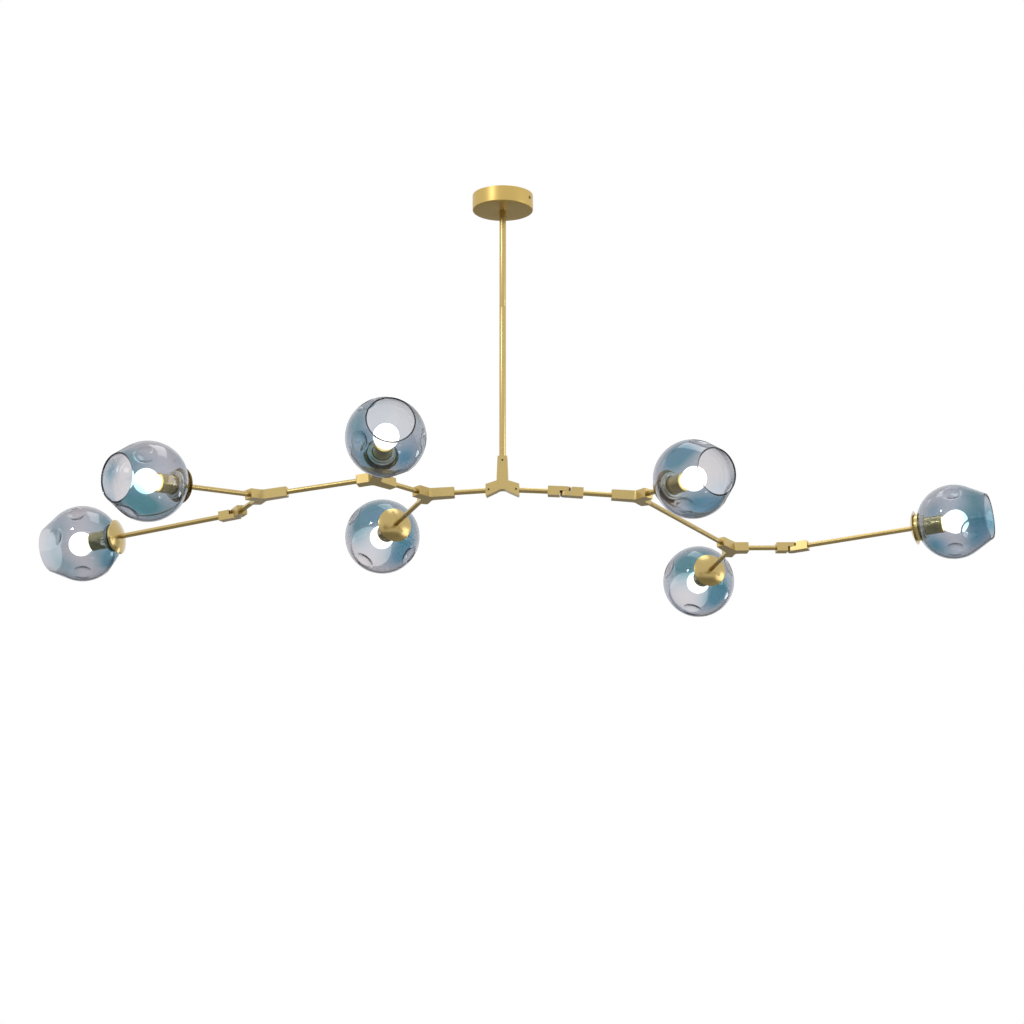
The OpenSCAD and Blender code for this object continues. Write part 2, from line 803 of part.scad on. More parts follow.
// Set screws of the hub, of the left blocks and of the fixed knuckle halves.
module set_screws_left() {
  color([0.30, 0.28, 0.25]) {
    at_hub() {
      translate([0, 0, stem_set_z]) rotate([90, 0, 0]) set_screw(stem_d / 2, set_end);
      for (s = [-1, 1])
        translate([s * hub_set_x, 0, hub_set_z]) rotate([90, 0, 0])
          set_screw(rod_r, set_end);
    }
    at_l1() block_screws(l1_turn_branch, l1_turn_lamp, 0);
    at_l2() block_screws(l2_turn_lamp, l2_turn_branch, l2_lift);
    at_l3() block_screws(l3_turn_lamp, l3_turn_branch, 0);
    at_left_knuckle() rotate([0, 0, 180]) translate([knuckle_half - set_back, 0, 0])
      set_screw(rod_r, set_end);
    at_inner_knuckle() rotate([0, 0, 180]) translate([knuckle_half - set_back, 0, 0])
      set_screw(rod_r, set_end);
  }
}

// Set screws of the right blocks and of the knuckle halves that move with them.
module set_screws_right() {
  color([0.30, 0.28, 0.25]) {
    at_right_branch() translate([knuckle_half - set_back, 0, 0])
      set_screw(rod_r, set_end);
    at_r1() block_screws(r1_turn_branch, r1_turn_lamp, 0);
    at_r2() block_screws(r2_turn_lamp, r2_turn_branch, 0);
    at_outer_knuckle() rotate([0, 0, 180]) translate([knuckle_half - set_back, 0, 0])
      set_screw(rod_r, set_end);
  }
}

// Spun brass cup: a shallow dish with a boss that the lamp's rod screws into.
module cup(n) {
  dome_x = cup_apex + cup_ball;
  color([0.84, 0.68, 0.36]) at_lamp(n) rotate([0, 90, 0]) rotate_extrude()
    difference() {
      union() {
        difference() {
          translate([0, dome_x]) circle(r = cup_ball);
          translate([0, dome_x]) circle(r = cup_ball - cup_wall);
        }
        translate([0, cup_apex + 1]) square([boss_r, boss_end - cup_apex - 1]);
      }
      translate([-200, -200]) square([200 + rod_r, 400]);
      translate([boss_r, cup_apex + cup_rise]) square([100, 200]);
      translate([0, boss_end + 1]) square([100, 200]);
    }
}

// Lampholder: a sleeve whose collar seats on the globe's back, and the ring
// inside the globe that clamps the glass to the collar.
module lampholder(n) {
  color([0.80, 0.68, 0.42]) at_lamp(n) {
    difference() {
      union() {
        difference() {
          bar(collar_r, collar_back, collar_x + 3);
          sphere(r = globe_r);
        }
        bar(sleeve_r, collar_back, sleeve_end);
      }
      bar(boss_r + 0.1, collar_back - 1, boss_end);
      bar(bore_r, holder_floor, sleeve_end + 1);
      bar(2.5, boss_end - 1, holder_floor + 1);
    }
    difference() {
      union() {
        intersection() {
          sphere(r = globe_r - glass_wall);
          bar(collar_r, -globe_r, ring_step);
        }
        bar(ring_hub_r, ring_step - 3, ring_end);
      }
      bar(sleeve_r + thread_gap, -globe_r - 20, 0);
    }
  }
}

// Blown glass globe with its mouth, rolled rim, back hole and thumb dimples.
module shade(n) {
  color([0.62, 0.72, 0.80, 0.45]) at_lamp(n) {
    difference() {
      globe_form(globe_r, mouth_r, rim_x);
      dimple_balls(n, 0);
      difference() {
        globe_form(globe_r - glass_wall, mouth_r - glass_wall, rim_x - 0.3);
        dimple_balls(n, glass_wall);
      }
      bar(mouth_r - glass_wall + 0.1, rim_x - 1, mouth_x);
      bar(back_hole_r, -globe_r - 2, -globe_r / 2);
    }
    rotate([0, 90, 0]) rotate_extrude()
      translate([mouth_r - glass_wall / 2, rim_x]) circle(r = rim_r, $fn = 32);
  }
}

// Screw-cap globe bulb.
module bulb(n) {
  color([1.0, 0.97, 0.90]) at_lamp(n) {
    bar(5, holder_floor, holder_floor + 3);
    bar(cap_r, holder_floor + 2, neck_x - 8);
    bar(cap_r + 0.2, neck_x - 8.5, neck_x);
    translate([neck_x, 0, 0]) rotate([0, 90, 0])
      cylinder(r1 = cap_r + 0.2, r2 = bulb_r * 0.84, h = bulb_x - bulb_r * 0.54 - neck_x);
    translate([bulb_x, 0, 0]) sphere(r = bulb_r);
  }
}

canopy();
mounting_bracket();
canopy_screws();
terminal_block();
stem_fittings();
stem_upper_tube();  // stem_upper
stem_lower_tube();  // stem_lower
hub_block();
block_left_1();
block_left_2();
block_left_3();
block_right_1();
block_right_2();
branch_rods_left();
branch_rod_inner();
branch_rods_right();
lamp_rods_left();
lamp_rods_right();
lamp_rod_1();
lamp_rod_7();
knuckle_left_fixed();
knuckle_left_swing();
pivot_left();
knuckle_inner_fixed();
knuckle_inner_swing();
pivot_inner();
knuckle_outer_fixed();
knuckle_outer_swing();
pivot_outer();
set_screws_left();
set_screws_right();
cup(1);  // cup_1
lampholder(1);  // lampholder_1
shade(1);  // shade_1
bulb(1);  // bulb_1
cup(2);  // cup_2
lampholder(2);  // lampholder_2
shade(2);  // shade_2
bulb(2);  // bulb_2
cup(3);  // cup_3
lampholder(3);  // lampholder_3
shade(3);  // shade_3
bulb(3);  // bulb_3
cup(4);  // cup_4
lampholder(4);  // lampholder_4
shade(4);  // shade_4
bulb(4);  // bulb_4
cup(5);  // cup_5
lampholder(5);  // lampholder_5
shade(5);  // shade_5
bulb(5);  // bulb_5
cup(6);  // cup_6
lampholder(6);  // lampholder_6
shade(6);  // shade_6
bulb(6);  // bulb_6
cup(7);  // cup_7
lampholder(7);  // lampholder_7
shade(7);  // shade_7
bulb(7);  // bulb_7
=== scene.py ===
"""Branch chandelier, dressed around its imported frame.

Sizes are in millimetres until a mesh is made, and meshes are in metres. Places run as on the
real lamp: out from the hub, from block to block, to the knuckles and the lamps.
"""

import json
import logging
import math
from dataclasses import dataclass, field
from enum import Enum
from functools import lru_cache
from typing import Iterable, Sequence

import bmesh
import bpy
import numpy as np
from mathutils import Matrix, Vector

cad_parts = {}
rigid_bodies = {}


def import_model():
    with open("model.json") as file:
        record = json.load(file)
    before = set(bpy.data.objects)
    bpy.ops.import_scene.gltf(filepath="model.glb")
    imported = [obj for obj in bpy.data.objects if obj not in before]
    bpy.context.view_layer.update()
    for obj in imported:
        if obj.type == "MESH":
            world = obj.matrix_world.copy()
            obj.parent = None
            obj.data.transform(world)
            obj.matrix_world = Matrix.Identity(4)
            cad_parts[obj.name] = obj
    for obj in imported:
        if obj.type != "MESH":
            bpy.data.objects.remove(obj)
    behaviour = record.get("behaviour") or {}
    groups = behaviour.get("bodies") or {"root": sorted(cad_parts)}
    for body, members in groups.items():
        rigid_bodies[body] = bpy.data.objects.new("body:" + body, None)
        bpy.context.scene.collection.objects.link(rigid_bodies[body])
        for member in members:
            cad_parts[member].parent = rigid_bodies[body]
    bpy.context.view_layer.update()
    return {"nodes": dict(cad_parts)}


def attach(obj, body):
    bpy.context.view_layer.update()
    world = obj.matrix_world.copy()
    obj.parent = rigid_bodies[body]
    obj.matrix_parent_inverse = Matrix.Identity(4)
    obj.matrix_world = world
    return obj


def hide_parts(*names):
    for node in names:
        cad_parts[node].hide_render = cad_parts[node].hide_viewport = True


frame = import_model()

LOG = logging.getLogger("chandelier")
MM = 0.001
SHARP = 35.0  # degrees: edges that turn by more are shaded sharp
FILED = 28.0  # degrees: a CAD node's edges that turn by more are broken
FLAT = 0.8  # degrees: a CAD node's faces that differ by less are one face
SEAM_GAP = 0.002  # mm: a CAD node's points that are nearer are one point
Profile = list[tuple[float, float]]
Triple = tuple[float, float, float]


# ---------------------------------------------------------------- nodes


class Line:
    """An output of a node tree that can be written in sums."""

    def __init__(self, bench: "Bench", socket: bpy.types.NodeSocket) -> None:
        """Keeps the tree and the output.

        Args:
            bench: The tree that the output belongs to.
            socket: The output itself.
        """
        self.bench = bench
        self.socket = socket

    def _sum(self, operation: str, *values: object) -> "Line":
        """Adds a Math node.

        Args:
            operation: The Math node's operation.
            *values: Numbers or lines for its inputs, in order.

        Returns:
            The node's result.
        """
        return self.bench.add("ShaderNodeMath", {"operation": operation}, dict(enumerate(values)))

    def __add__(self, other: object) -> "Line":
        """This plus another."""
        return self._sum("ADD", self, other)

    def __radd__(self, other: object) -> "Line":
        """Another plus this."""
        return self._sum("ADD", other, self)

    def __sub__(self, other: object) -> "Line":
        """This less another."""
        return self._sum("SUBTRACT", self, other)

    def __rsub__(self, other: object) -> "Line":
        """Another less this."""
        return self._sum("SUBTRACT", other, self)

    def __mul__(self, other: object) -> "Line":
        """This times another."""
        return self._sum("MULTIPLY", self, other)

    def __rmul__(self, other: object) -> "Line":
        """Another times this."""
        return self._sum("MULTIPLY", other, self)

    def largest(self, other: object) -> "Line":
        """The larger of this and another."""
        return self._sum("MAXIMUM", self, other)

    def held(self) -> "Line":
        """This, held between 0 and 1."""
        return self.bench.add("ShaderNodeClamp", {}, {"Value": self})

    def also(self, name: str) -> "Line":
        """Another output of the same node."""
        return Line(self.bench, self.socket.node.outputs[name])


class Bench:
    """A node tree under construction."""

    def __init__(self, tree: bpy.types.NodeTree) -> None:
        """Starts on an emptied tree.

        Args:
            tree: The tree to build in.
        """
        self.tree = tree
        tree.nodes.clear()

    def add(
        self,
        kind: str,
        settings: dict[str, object] | None = None,
        inputs: dict[object, object] | None = None,
        out: object = 0,
    ) -> Line:
        """Adds a node.

        Args:
            kind: The node's type.
            settings: Its own settings, set first.
            inputs: Values or lines for its inputs, by name or number. A list fills one input
                that takes several lines.
            out: The output that is wanted, by name or number.

        Returns:
            The wanted output.
        """
        node = self.tree.nodes.new(kind)
        for name, value in (settings or {}).items():
            setattr(node, name, value)
        for name, value in (inputs or {}).items():
            socket = self._socket(node.inputs, name)
            lines = value if isinstance(value, list) else [value]
            for line in lines:
                if isinstance(line, Line):
                    self.tree.links.new(line.socket, socket)
                else:
                    socket.default_value = line
        if not node.outputs:
            return Line(self, None)
        return Line(self, self._socket(node.outputs, out))

    @staticmethod
    def _socket(sockets: Iterable, name: object) -> bpy.types.NodeSocket:
        """Finds a socket that is switched on.

        Args:
            sockets: A node's inputs or outputs.
            name: The socket's name, or its number.

        Returns:
            The socket.
        """
        if isinstance(name, int):
            return sockets[name]
        return next(s for s in sockets if s.name == name and s.enabled)

    def blend(self, factor: object, first: object, second: object) -> Line:
        """Mixes two colours.

        Args:
            factor: The second colour's share.
            first: The colour at 0.
            second: The colour at 1.

        Returns:
            The mixed colour.
        """
        inputs = {"Factor": factor, "A": first, "B": second}
        return self.add("ShaderNodeMix", {"data_type": "RGBA"}, inputs, "Result")

    def here(self) -> Line:
        """The object's own coordinates, in metres."""
        return self.add("ShaderNodeTexCoord", out="Object")

    def by(self, attribute: str, out: str = "Fac") -> Line:
        """The mesh's attribute of that name."""
        return self.add("ShaderNodeAttribute", {"attribute_name": attribute}, out=out)

    def bump(self, height: Line, strength: float, distance: float) -> Line:
        """Adds a Bump node.

        Args:
            height: The relief, from 0 to 1.
            strength: How much of it shows.
            distance: Its full height, in metres.

        Returns:
            The bumped normal.
        """
        inputs = {"Strength": strength, "Distance": distance, "Height": height}
        return self.add("ShaderNodeBump", {}, inputs)

    def xyz(self, x: object = 0.0, y: object = 0.0, z: object = 0.0) -> Line:
        """A vector of three numbers or lines."""
        return self.add("ShaderNodeCombineXYZ", {}, {"X": x, "Y": y, "Z": z})

    def lifted(self, solid: Line, by: object) -> Line:
        """Geometry raised along Z."""
        inputs = {"Geometry": solid, "Translation": self.xyz(z=by)}
        return self.add("GeometryNodeTransform", {}, inputs)

    def noise(self, where: Line, scale: float | Triple, detail: float = 2.0) -> Line:
        """Adds smooth noise, from 0 to 1.

        Args:
            where: The coordinates, in metres.
            scale: Waves to the metre, for all axes or each.
            detail: How much finer noise is laid on it.

        Returns:
            The noise.
        """
        waves = scale if isinstance(scale, tuple) else (scale, scale, scale)
        stretched = self.add(
            "ShaderNodeMapping", {"vector_type": "POINT"}, {"Vector": where, "Scale": waves}
        )
        return self.add(
            "ShaderNodeTexNoise",
            {"noise_dimensions": "3D"},
            {"Vector": stretched, "Scale": 1.0, "Detail": detail, "Roughness": 0.55},
        )


# ---------------------------------------------------------------- finishes


def opaque(colour: Triple) -> tuple[float, float, float, float]:
    """The colour with full alpha."""
    return (*colour, 1.0)


@dataclass(frozen=True)
class Finish:
    """What a surface is made of and how it is treated.

    Attributes:
        name: The material's name.
        slot: The record's material slot. Not used.
        colour: Its plain colour, linear.
        roughness: Its mean roughness.
    """

    name: str
    slot: str
    colour: Triple
    roughness: float

    @lru_cache
    def material(self) -> bpy.types.Material:
        """The material, made once.

        Returns:
            The material.
        """
        made = bpy.data.materials.new(self.name)
        made.use_nodes = True
        bench = Bench(made.node_tree)
        ends = {"Surface": self.surface(bench)}
        volume = self.volume(bench)
        if volume is not None:
            ends["Volume"] = volume
        bench.add("ShaderNodeOutputMaterial", {}, ends)
        return made

    def surface(self, bench: Bench) -> Line:
        """Builds the surface's shader.

        Args:
            bench: The material's tree.

        Returns:
            The shader.
        """
        raise NotImplementedError

    def volume(self, bench: Bench) -> Line | None:
        """The body's shader, for a finish that has one."""
        return None


@dataclass(frozen=True)
class Brass(Finish):
    """Lacquered brass with the fine lines of its brushing along the grain.

    Attributes:
        shade: The colour in the lines and smudges.
        lines: How much the lines change the roughness.
        relief: The lines' height, in metres.
        lacquer: Weight of the clear lacquer.
        lacquer_ior: How much the lacquer bends light, which is how clearly it shines on its own.
        lacquer_rough: The lacquer's roughness.
        fine: Waves to the metre of the fine lines, along the grain and across it.
        broad: The same for the broad lines.
        fine_share: The fine lines' share in all lines.
        smudges: Waves to the metre of the smudges.
        wiped: How much the smudges change the roughness.
    """

    shade: Triple = (0.47, 0.35, 0.14)
    lines: float = 0.14
    relief: float = 0.00002
    lacquer: float = 0.3
    lacquer_ior: float = 1.5
    lacquer_rough: float = 0.22
    fine: Triple = (60.0, 2600.0, 2600.0)
    broad: Triple = (14.0, 420.0, 420.0)
    fine_share: float = 0.55
    smudges: float = 22.0
    wiped: float = 0.08

    def surface(self, bench: Bench) -> Line:
        """Builds brass that is brushed along the piece's grain.

        Args:
            bench: The material's tree.

        Returns:
            The shader.
        """
        grain = bench.by("grain", "Vector")
        fine = bench.noise(grain, self.fine, 3.0)
        broad = bench.noise(grain, self.broad, 2.0)
        smudge = bench.noise(bench.here(), self.smudges, 4.0)
        line = fine * self.fine_share + broad * (1 - self.fine_share)
        tone = (line * 0.5 + smudge * 0.5 + 0.1).held()
        rough = self.roughness + (line - 0.5) * self.lines + (smudge - 0.5) * self.wiped
        return bench.add(
            "ShaderNodeBsdfPrincipled",
            {},
            {
                "Base Color": bench.blend(tone, opaque(self.shade), opaque(self.colour)),
                "Metallic": 1.0,
                "Roughness": rough.held(),
                "Coat Weight": self.lacquer,
                "Coat Roughness": self.lacquer_rough,
                "Coat IOR": self.lacquer_ior,
                "Normal": bench.bump(line, 0.35, self.relief),
            },
        )


@dataclass(frozen=True)
class Cloudy(Finish):
    """A plain material with a cloudy tone and a faint relief.

    Attributes:
        metallic: 1 for metal, 0 for plastic or porcelain.
        clouds: Waves to the metre of the clouds.
        grit: Waves to the metre of the relief.
        dark: The dark clouds' share of the colour.
        uneven: How much the clouds change the roughness.
        relief: The relief's height, in metres.
        strength: How much of the relief shows.
        detail: How much finer clouds are laid on the clouds.
    """

    metallic: float = 1.0
    clouds: float = 90.0
    grit: float = 1500.0
    dark: float = 0.72
    uneven: float = 0.25
    relief: float = 0.00003
    strength: float = 0.25
    detail: float = 4.0

    def surface(self, bench: Bench) -> Line:
        """Builds the cloudy surface.

        Args:
            bench: The material's tree.

        Returns:
            The shader.
        """
        place = bench.here()
        cloud = bench.noise(place, self.clouds, self.detail)
        grit = bench.noise(place, self.grit, 2.0)
        dark = tuple(c * self.dark for c in self.colour)
        return bench.add(
            "ShaderNodeBsdfPrincipled",
            {},
            {
                "Base Color": bench.blend(cloud, opaque(dark), opaque(self.colour)),
                "Metallic": self.metallic,
                "Roughness": (self.roughness + (cloud - 0.5) * self.uneven).held(),
                "Normal": bench.bump(grit, self.strength, self.relief),
            },
        )


@dataclass(frozen=True)
class BlownGlass(Finish):
    """Blown glass with a cloudy tint that turns from grey-mauve to blue.

    Attributes:
        haze: The colour that clouds the plain colour.
        blue: The glass's colour where the tint is full.
        teal: The colour that clouds the blue.
        body: Colour of the clear body, for its depth at the edges.
        density: How strongly the body takes light, per metre.
        edge_shade: Painted shade, the tint of a clear coat that darkens the glass seen edge on,
            as the globes' dark outlines.
        edge_shade_ior: How little that coat bends light. Nearer 1 makes the painted dark edge
            stronger.
        cast: Colour of the light that falls through one side of the wall.
        swirls: Waves to the metre of the swirls in the tint.
        clouds: Waves to the metre of the clouds in both colours.
        waves: Waves to the metre of the hand-made surface.
    """

    haze: Triple = (0.71, 0.745, 0.81)
    blue: Triple = (0.19, 0.41, 0.54)
    teal: Triple = (0.14, 0.39, 0.44)
    body: Triple = (0.50, 0.56, 0.62)
    density: float = 22.0
    # Painted shade: a clear coat's tint that darkens the glass where it is seen edge on.
    edge_shade: Triple = (0.945, 0.95, 0.955)
    edge_shade_ior: float = 1.001
    cast: Triple = (0.84, 0.85, 0.88)
    swirls: Triple = (14.0, 14.0, 20.0)
    clouds: float = 11.0
    waves: float = 28.0

    def tinted(self, bench: Bench, place: Line) -> Line:
        """The glass's colour, by the piece's tint attribute.

        Args:
            bench: The material's tree.
            place: The object's own coordinates.

        Returns:
            The colour.
        """
        swirl = bench.noise(place, self.swirls, 1.0)
        cloud = ((bench.noise(place, self.clouds, 0.0) - 0.5) * 3.0 + 0.5).held()
        share = (bench.by("tint") * (0.6 + swirl * 0.8)).held()
        plain = bench.blend(cloud, opaque(self.colour), opaque(self.haze))
        deep = bench.blend(cloud, opaque(self.blue), opaque(self.teal))
        return bench.blend(share, plain, deep)

    def surface(self, bench: Bench) -> Line:
        """Builds glass that casts a light shadow.

        Args:
            bench: The material's tree.

        Returns:
            The shader.
        """
        place = bench.here()
        glass = bench.add(
            "ShaderNodeBsdfPrincipled",
            {},
            {
                "Base Color": self.tinted(bench, place),
                "Roughness": self.roughness,
                "IOR": 1.5,
                "Transmission Weight": 1.0,
                # The clear coat paints shade on the glass where it is seen edge on, as dark
                # outlines.
                "Coat Weight": 1.0,
                "Coat Roughness": 0.0,
                "Coat IOR": self.edge_shade_ior,
                "Coat Tint": opaque(self.edge_shade),
                "Normal": bench.bump(bench.noise(place, self.waves, 0.0), 0.2, 0.0003),
            },
        )
        let_through = bench.add("ShaderNodeBsdfTransparent", {}, {"Color": opaque(self.cast)})
        shadow = bench.add("ShaderNodeLightPath", out="Is Shadow Ray")
        share = shadow.largest(shadow.also("Is Diffuse Ray"))
        return bench.add("ShaderNodeMixShader", {}, {0: share, 1: glass, 2: let_through})

    def volume(self, bench: Bench) -> Line:
        """The body's absorption."""
        inputs = {"Color": opaque(self.body), "Density": self.density}
        return bench.add("ShaderNodeVolumeAbsorption", {}, inputs)


@dataclass(frozen=True)
class LitOpal(Finish):
    """Opal glass with light behind it, warmer towards its cap.

    Attributes:
        warm: Colour of the light at the cap.
        strength: How bright the globe is.
        clouds: Waves to the metre of the clouds in the opal.
    """

    warm: Triple = (1.0, 0.84, 0.58)
    strength: float = 2.6
    clouds: float = 60.0

    def surface(self, bench: Bench) -> Line:
        """Builds lit glass by the piece's glow attribute.

        Args:
            bench: The material's tree.

        Returns:
            The shader.
        """
        cloud = bench.noise(bench.here(), self.clouds, 2.0)
        share = (bench.by("glow") + (cloud - 0.5) * 0.08).held()
        return bench.add(
            "ShaderNodeBsdfPrincipled",
            {},
            {
                "Base Color": opaque(self.colour),
                "Roughness": (self.roughness + (cloud - 0.5) * 0.1).held(),
                "Emission Color": bench.blend(share, opaque(self.warm), opaque(self.colour)),
                "Emission Strength": self.strength,
            },
        )


BRUSHED = Brass(
    "lined_brass",
    "brushed_brass",
    (0.59, 0.455, 0.19),
    0.28,
    (0.46, 0.34, 0.125),
    lines=0.08,
    relief=0.000005,
    lacquer=0.05,
)
SPUN = Brass(
    "spun_brass",
    "polished_brass",
    (0.48, 0.34, 0.07),
    0.25,
    (0.40, 0.27, 0.05),
    lines=0.06,
    lacquer=1.0,
    lacquer_ior=1.9,
)
CANOPY_BRASS = Brass(
    "canopy_brass",
    "brushed_brass",
    (0.62, 0.45, 0.15),
    0.4,
    (0.53, 0.37, 0.11),
    lines=0.06,
    relief=0.000005,
    lacquer=0.05,
)
SLEEVE_BRASS = Brass("sleeve_brass", "plated_plastic", (0.74, 0.60, 0.26), 0.26, lines=0.08)
RING_METAL = Cloudy("ring_metal", "plated_plastic", (0.95, 0.92, 0.78), 0.46)
STEEL = Cloudy("zinc_steel", "steel", (0.62, 0.62, 0.64), 0.34)
DARK_STEEL = Cloudy("blackened_steel", "dark_steel", (0.10, 0.08, 0.06), 0.42)
NICKEL = Cloudy("nickel_cap", "steel", (0.70, 0.68, 0.62), 0.25)
PORCELAIN = Cloudy(
    "porcelain",
    "insulator",
    (0.88, 0.86, 0.80),
    0.2,
    metallic=0.0,
    clouds=120.0,
    grit=900.0,
    dark=0.86,
    uneven=0.12,
    relief=0.00002,
    strength=0.2,
    detail=3.0,
)
GLASS = BlownGlass("blown_glass", "tinted_glass", (0.82, 0.77, 0.78), 0.0)
OPAL = LitOpal("lit_opal", "opal_bulb", (1.0, 0.97, 0.90), 0.35)


# ---------------------------------------------------------------- meshes


def moved(x: float = 0.0, y: float = 0.0, z: float = 0.0) -> Matrix:
    """A shift by millimetres."""
    return Matrix.Translation(Vector((x, y, z)) * MM)


def turned(degrees: float, axis: str) -> Matrix:
    """A turn about X, Y or Z."""
    return Matrix.Rotation(math.radians(degrees), 4, axis)


UPWARD = turned(-90, "Y")


def rounded(corners: Sequence[Triple], steps: int = 5) -> Profile:
    """Rounds the corners of an outline.

    Args:
        corners: Along and out from the axis, and the corner's radius, in mm.
        steps: Points in each rounded corner, less one.

    Returns:
        The outline's points.
    """
    points: Profile = []
    for i, (x, r, radius) in enumerate(corners):
        here = Vector((x, r))
        before = Vector(corners[i - 1][:2]) - here
        after = Vector(corners[(i + 1) % len(corners)][:2]) - here
        if radius <= 0 or before.length < 1e-6 or after.length < 1e-6:
            points.append((x, r))
            continue
        half = before.angle(after) / 2
        reach = min(radius / math.tan(half), 0.48 * before.length, 0.48 * after.length)
        centre = here + (before.normalized() + after.normalized()).normalized() * (
            reach / math.cos(half)
        )
        start, end = here + before.normalized() * reach, here + after.normalized() * reach
        a0 = math.atan2(start.y - centre.y, start.x - centre.x)
        a1 = math.atan2(end.y - centre.y, end.x - centre.x)
        sweep = (a1 - a0 + math.pi) % (2 * math.pi) - math.pi
        size = (start - centre).length
        for k in range(steps + 1):
            a = a0 + sweep * k / steps
            points.append((centre.x + size * math.cos(a), centre.y + size * math.sin(a)))
    return points


def distinct(outline: Profile, gap: float = 0.02) -> Profile:
    """Leaves out points that coincide with the one before them.

    Args:
        outline: A closed outline, in mm.
        gap: The least distance that is kept.

    Returns:
        The outline's other points.
    """
    return [p for i, p in enumerate(outline) if math.dist(p, outline[i - 1]) > gap]


def lathe(
    outline: Profile, place: Matrix, segments: int = 96, grain_turn: float = 30.0
) -> bpy.types.Mesh:
    """Turns a closed outline about the X axis.

    Args:
        outline: Points along and out from the axis, in mm. Points on the axis make poles.
        place: Where the piece sits.
        segments: Steps round the axis.
        grain_turn: How far the grain's slow direction runs in half a turn, in mm.

    Returns:
        The mesh, with its grain running round the axis.
    """
    made = bmesh.new()
    grain = made.verts.layers.float_vector.new("grain")
    rings: list[list[bmesh.types.BMVert]] = []
    for x, r in distinct(outline):
        ring = []
        for k in range(1 if r < 1e-6 else segments):
            a = 2 * math.pi * k / segments
            vert = made.verts.new(Vector((x, r * math.cos(a), r * math.sin(a))) * MM)
            vert[grain] = Vector((grain_turn * math.cos(a), x, r)) * MM
            ring.append(vert)
        rings.append(ring)
    for i, ring in enumerate(rings):
        following = rings[(i + 1) % len(rings)]
        if len(ring) == 1 and len(following) == 1:
            continue
        for k in range(segments):
            corners = [
                ring[k % len(ring)],
                ring[(k + 1) % len(ring)],
                following[(k + 1) % len(following)],
                following[k % len(following)],
            ]
            unique = list(dict.fromkeys(corners))
            if len(unique) > 2:
                made.faces.new(unique)
    bmesh.ops.recalc_face_normals(made, faces=made.faces)
    made.transform(place)
    return finished(made)


def smoothed(mesh: bpy.types.Mesh, sharp: float = SHARP) -> bpy.types.Mesh:
    """Shades a mesh smooth with its sharp edges kept.

    Args:
        mesh: The mesh.
        sharp: Edges over this angle stay sharp, in degrees.

    Returns:
        The same mesh.
    """
    mesh.shade_smooth()
    mesh.set_sharp_from_angle(angle=math.radians(sharp))
    return mesh


def finished(made: bmesh.types.BMesh, sharp: float = SHARP) -> bpy.types.Mesh:
    """Turns a bmesh into a smooth mesh with sharp edges kept.

    Args:
        made: The bmesh, which is freed.
        sharp: Edges over this angle stay sharp, in degrees.

    Returns:
        The mesh.
    """
    mesh = bpy.data.meshes.new("mesh")
    made.to_mesh(mesh)
    made.free()
    return smoothed(mesh, sharp)


def shown(name: str, mesh: bpy.types.Mesh) -> bpy.types.Object:
    """A mesh in an object of its own in the scene."""
    made = bpy.data.objects.new(name, mesh)
    bpy.context.scene.collection.objects.link(made)
    return made


def settled(holder: bpy.types.Object) -> bpy.types.Mesh:
    """Takes an object's plain mesh, with its modifiers in it, and removes the object.

    Args:
        holder: The object.

    Returns:
        The mesh.
    """
    graph = bpy.context.evaluated_depsgraph_get()
    made = bpy.data.meshes.new_from_object(
        holder.evaluated_get(graph), preserve_all_data_layers=True, depsgraph=graph
    )
    bpy.data.objects.remove(holder)
    return made


def softened(node: str, place: Matrix, edge: float) -> bpy.types.Mesh:
    """A copy of a CAD node, its triangles merged and its edges broken as a maker files them.

    Args:
        node: The CAD node's name.
        place: The piece's own place, which its grain follows.
        edge: Width of the broken edges, in mm.

    Returns:
        The mesh.
    """
    made = bmesh.new()
    made.from_mesh(frame["nodes"][node].data)
    bmesh.ops.remove_doubles(made, verts=made.verts, dist=SEAM_GAP * MM)
    bmesh.ops.dissolve_degenerate(made, edges=made.edges, dist=2 * SEAM_GAP * MM)
    flat = math.radians(FLAT)
    bmesh.ops.dissolve_limit(made, angle_limit=flat, verts=made.verts, edges=made.edges)
    bmesh.ops.recalc_face_normals(made, faces=made.faces)
    limit = math.radians(FILED)
    bmesh.ops.bevel(
        made,
        geom=[e for e in made.edges if len(e.link_faces) == 2 and e.calc_face_angle() > limit],
        offset=edge * MM,
        offset_type="OFFSET",
        segments=2,
        profile=0.5,
        affect="EDGES",
        clamp_overlap=True,
    )
    layer = made.verts.layers.float_vector.new("grain")
    back = place.inverted()
    for vert in made.verts:
        vert[layer] = back @ vert.co
    return flattened(finished(made))


def flattened(mesh: bpy.types.Mesh) -> bpy.types.Mesh:
    """Turns a mesh's normals to its larger faces, so that flat faces shade flat to their edges.

    Args:
        mesh: The mesh.

    Returns:
        The same shape with such normals.
    """
    holder = shown("flattened", mesh)
    modifier = holder.modifiers.new("flattened", "WEIGHTED_NORMAL")
    modifier.keep_sharp, modifier.weight = True, 100
    return settled(holder)


def joined(meshes: Sequence[bpy.types.Mesh]) -> bpy.types.Mesh:
    """Joins meshes with their attributes.

    Args:
        meshes: The meshes.

    Returns:
        One mesh.
    """
    made = bmesh.new()
    for mesh in meshes:
        made.from_mesh(mesh)
    return finished(made)


def piece(
    name: str,
    mesh: bpy.types.Mesh,
    finish: Finish,
    body: str,
    replaces: Sequence[str] = (),
) -> bpy.types.Object:
    """Puts a finished mesh into the scene as a piece.

    Args:
        name: The piece's name.
        mesh: Its mesh, in place.
        finish: Its finish.
        body: The CAD body it rides on.
        replaces: The CAD nodes it stands for.

    Returns:
        The piece's object.
    """
    mesh.name = name
    mesh.materials.clear()
    mesh.materials.append(finish.material())
    made = shown(name, mesh)
    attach(made, body)
    if replaces:
        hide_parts(*replaces)
    LOG.info("%s: %d faces, on %s", name, len(mesh.polygons), body)
    return made


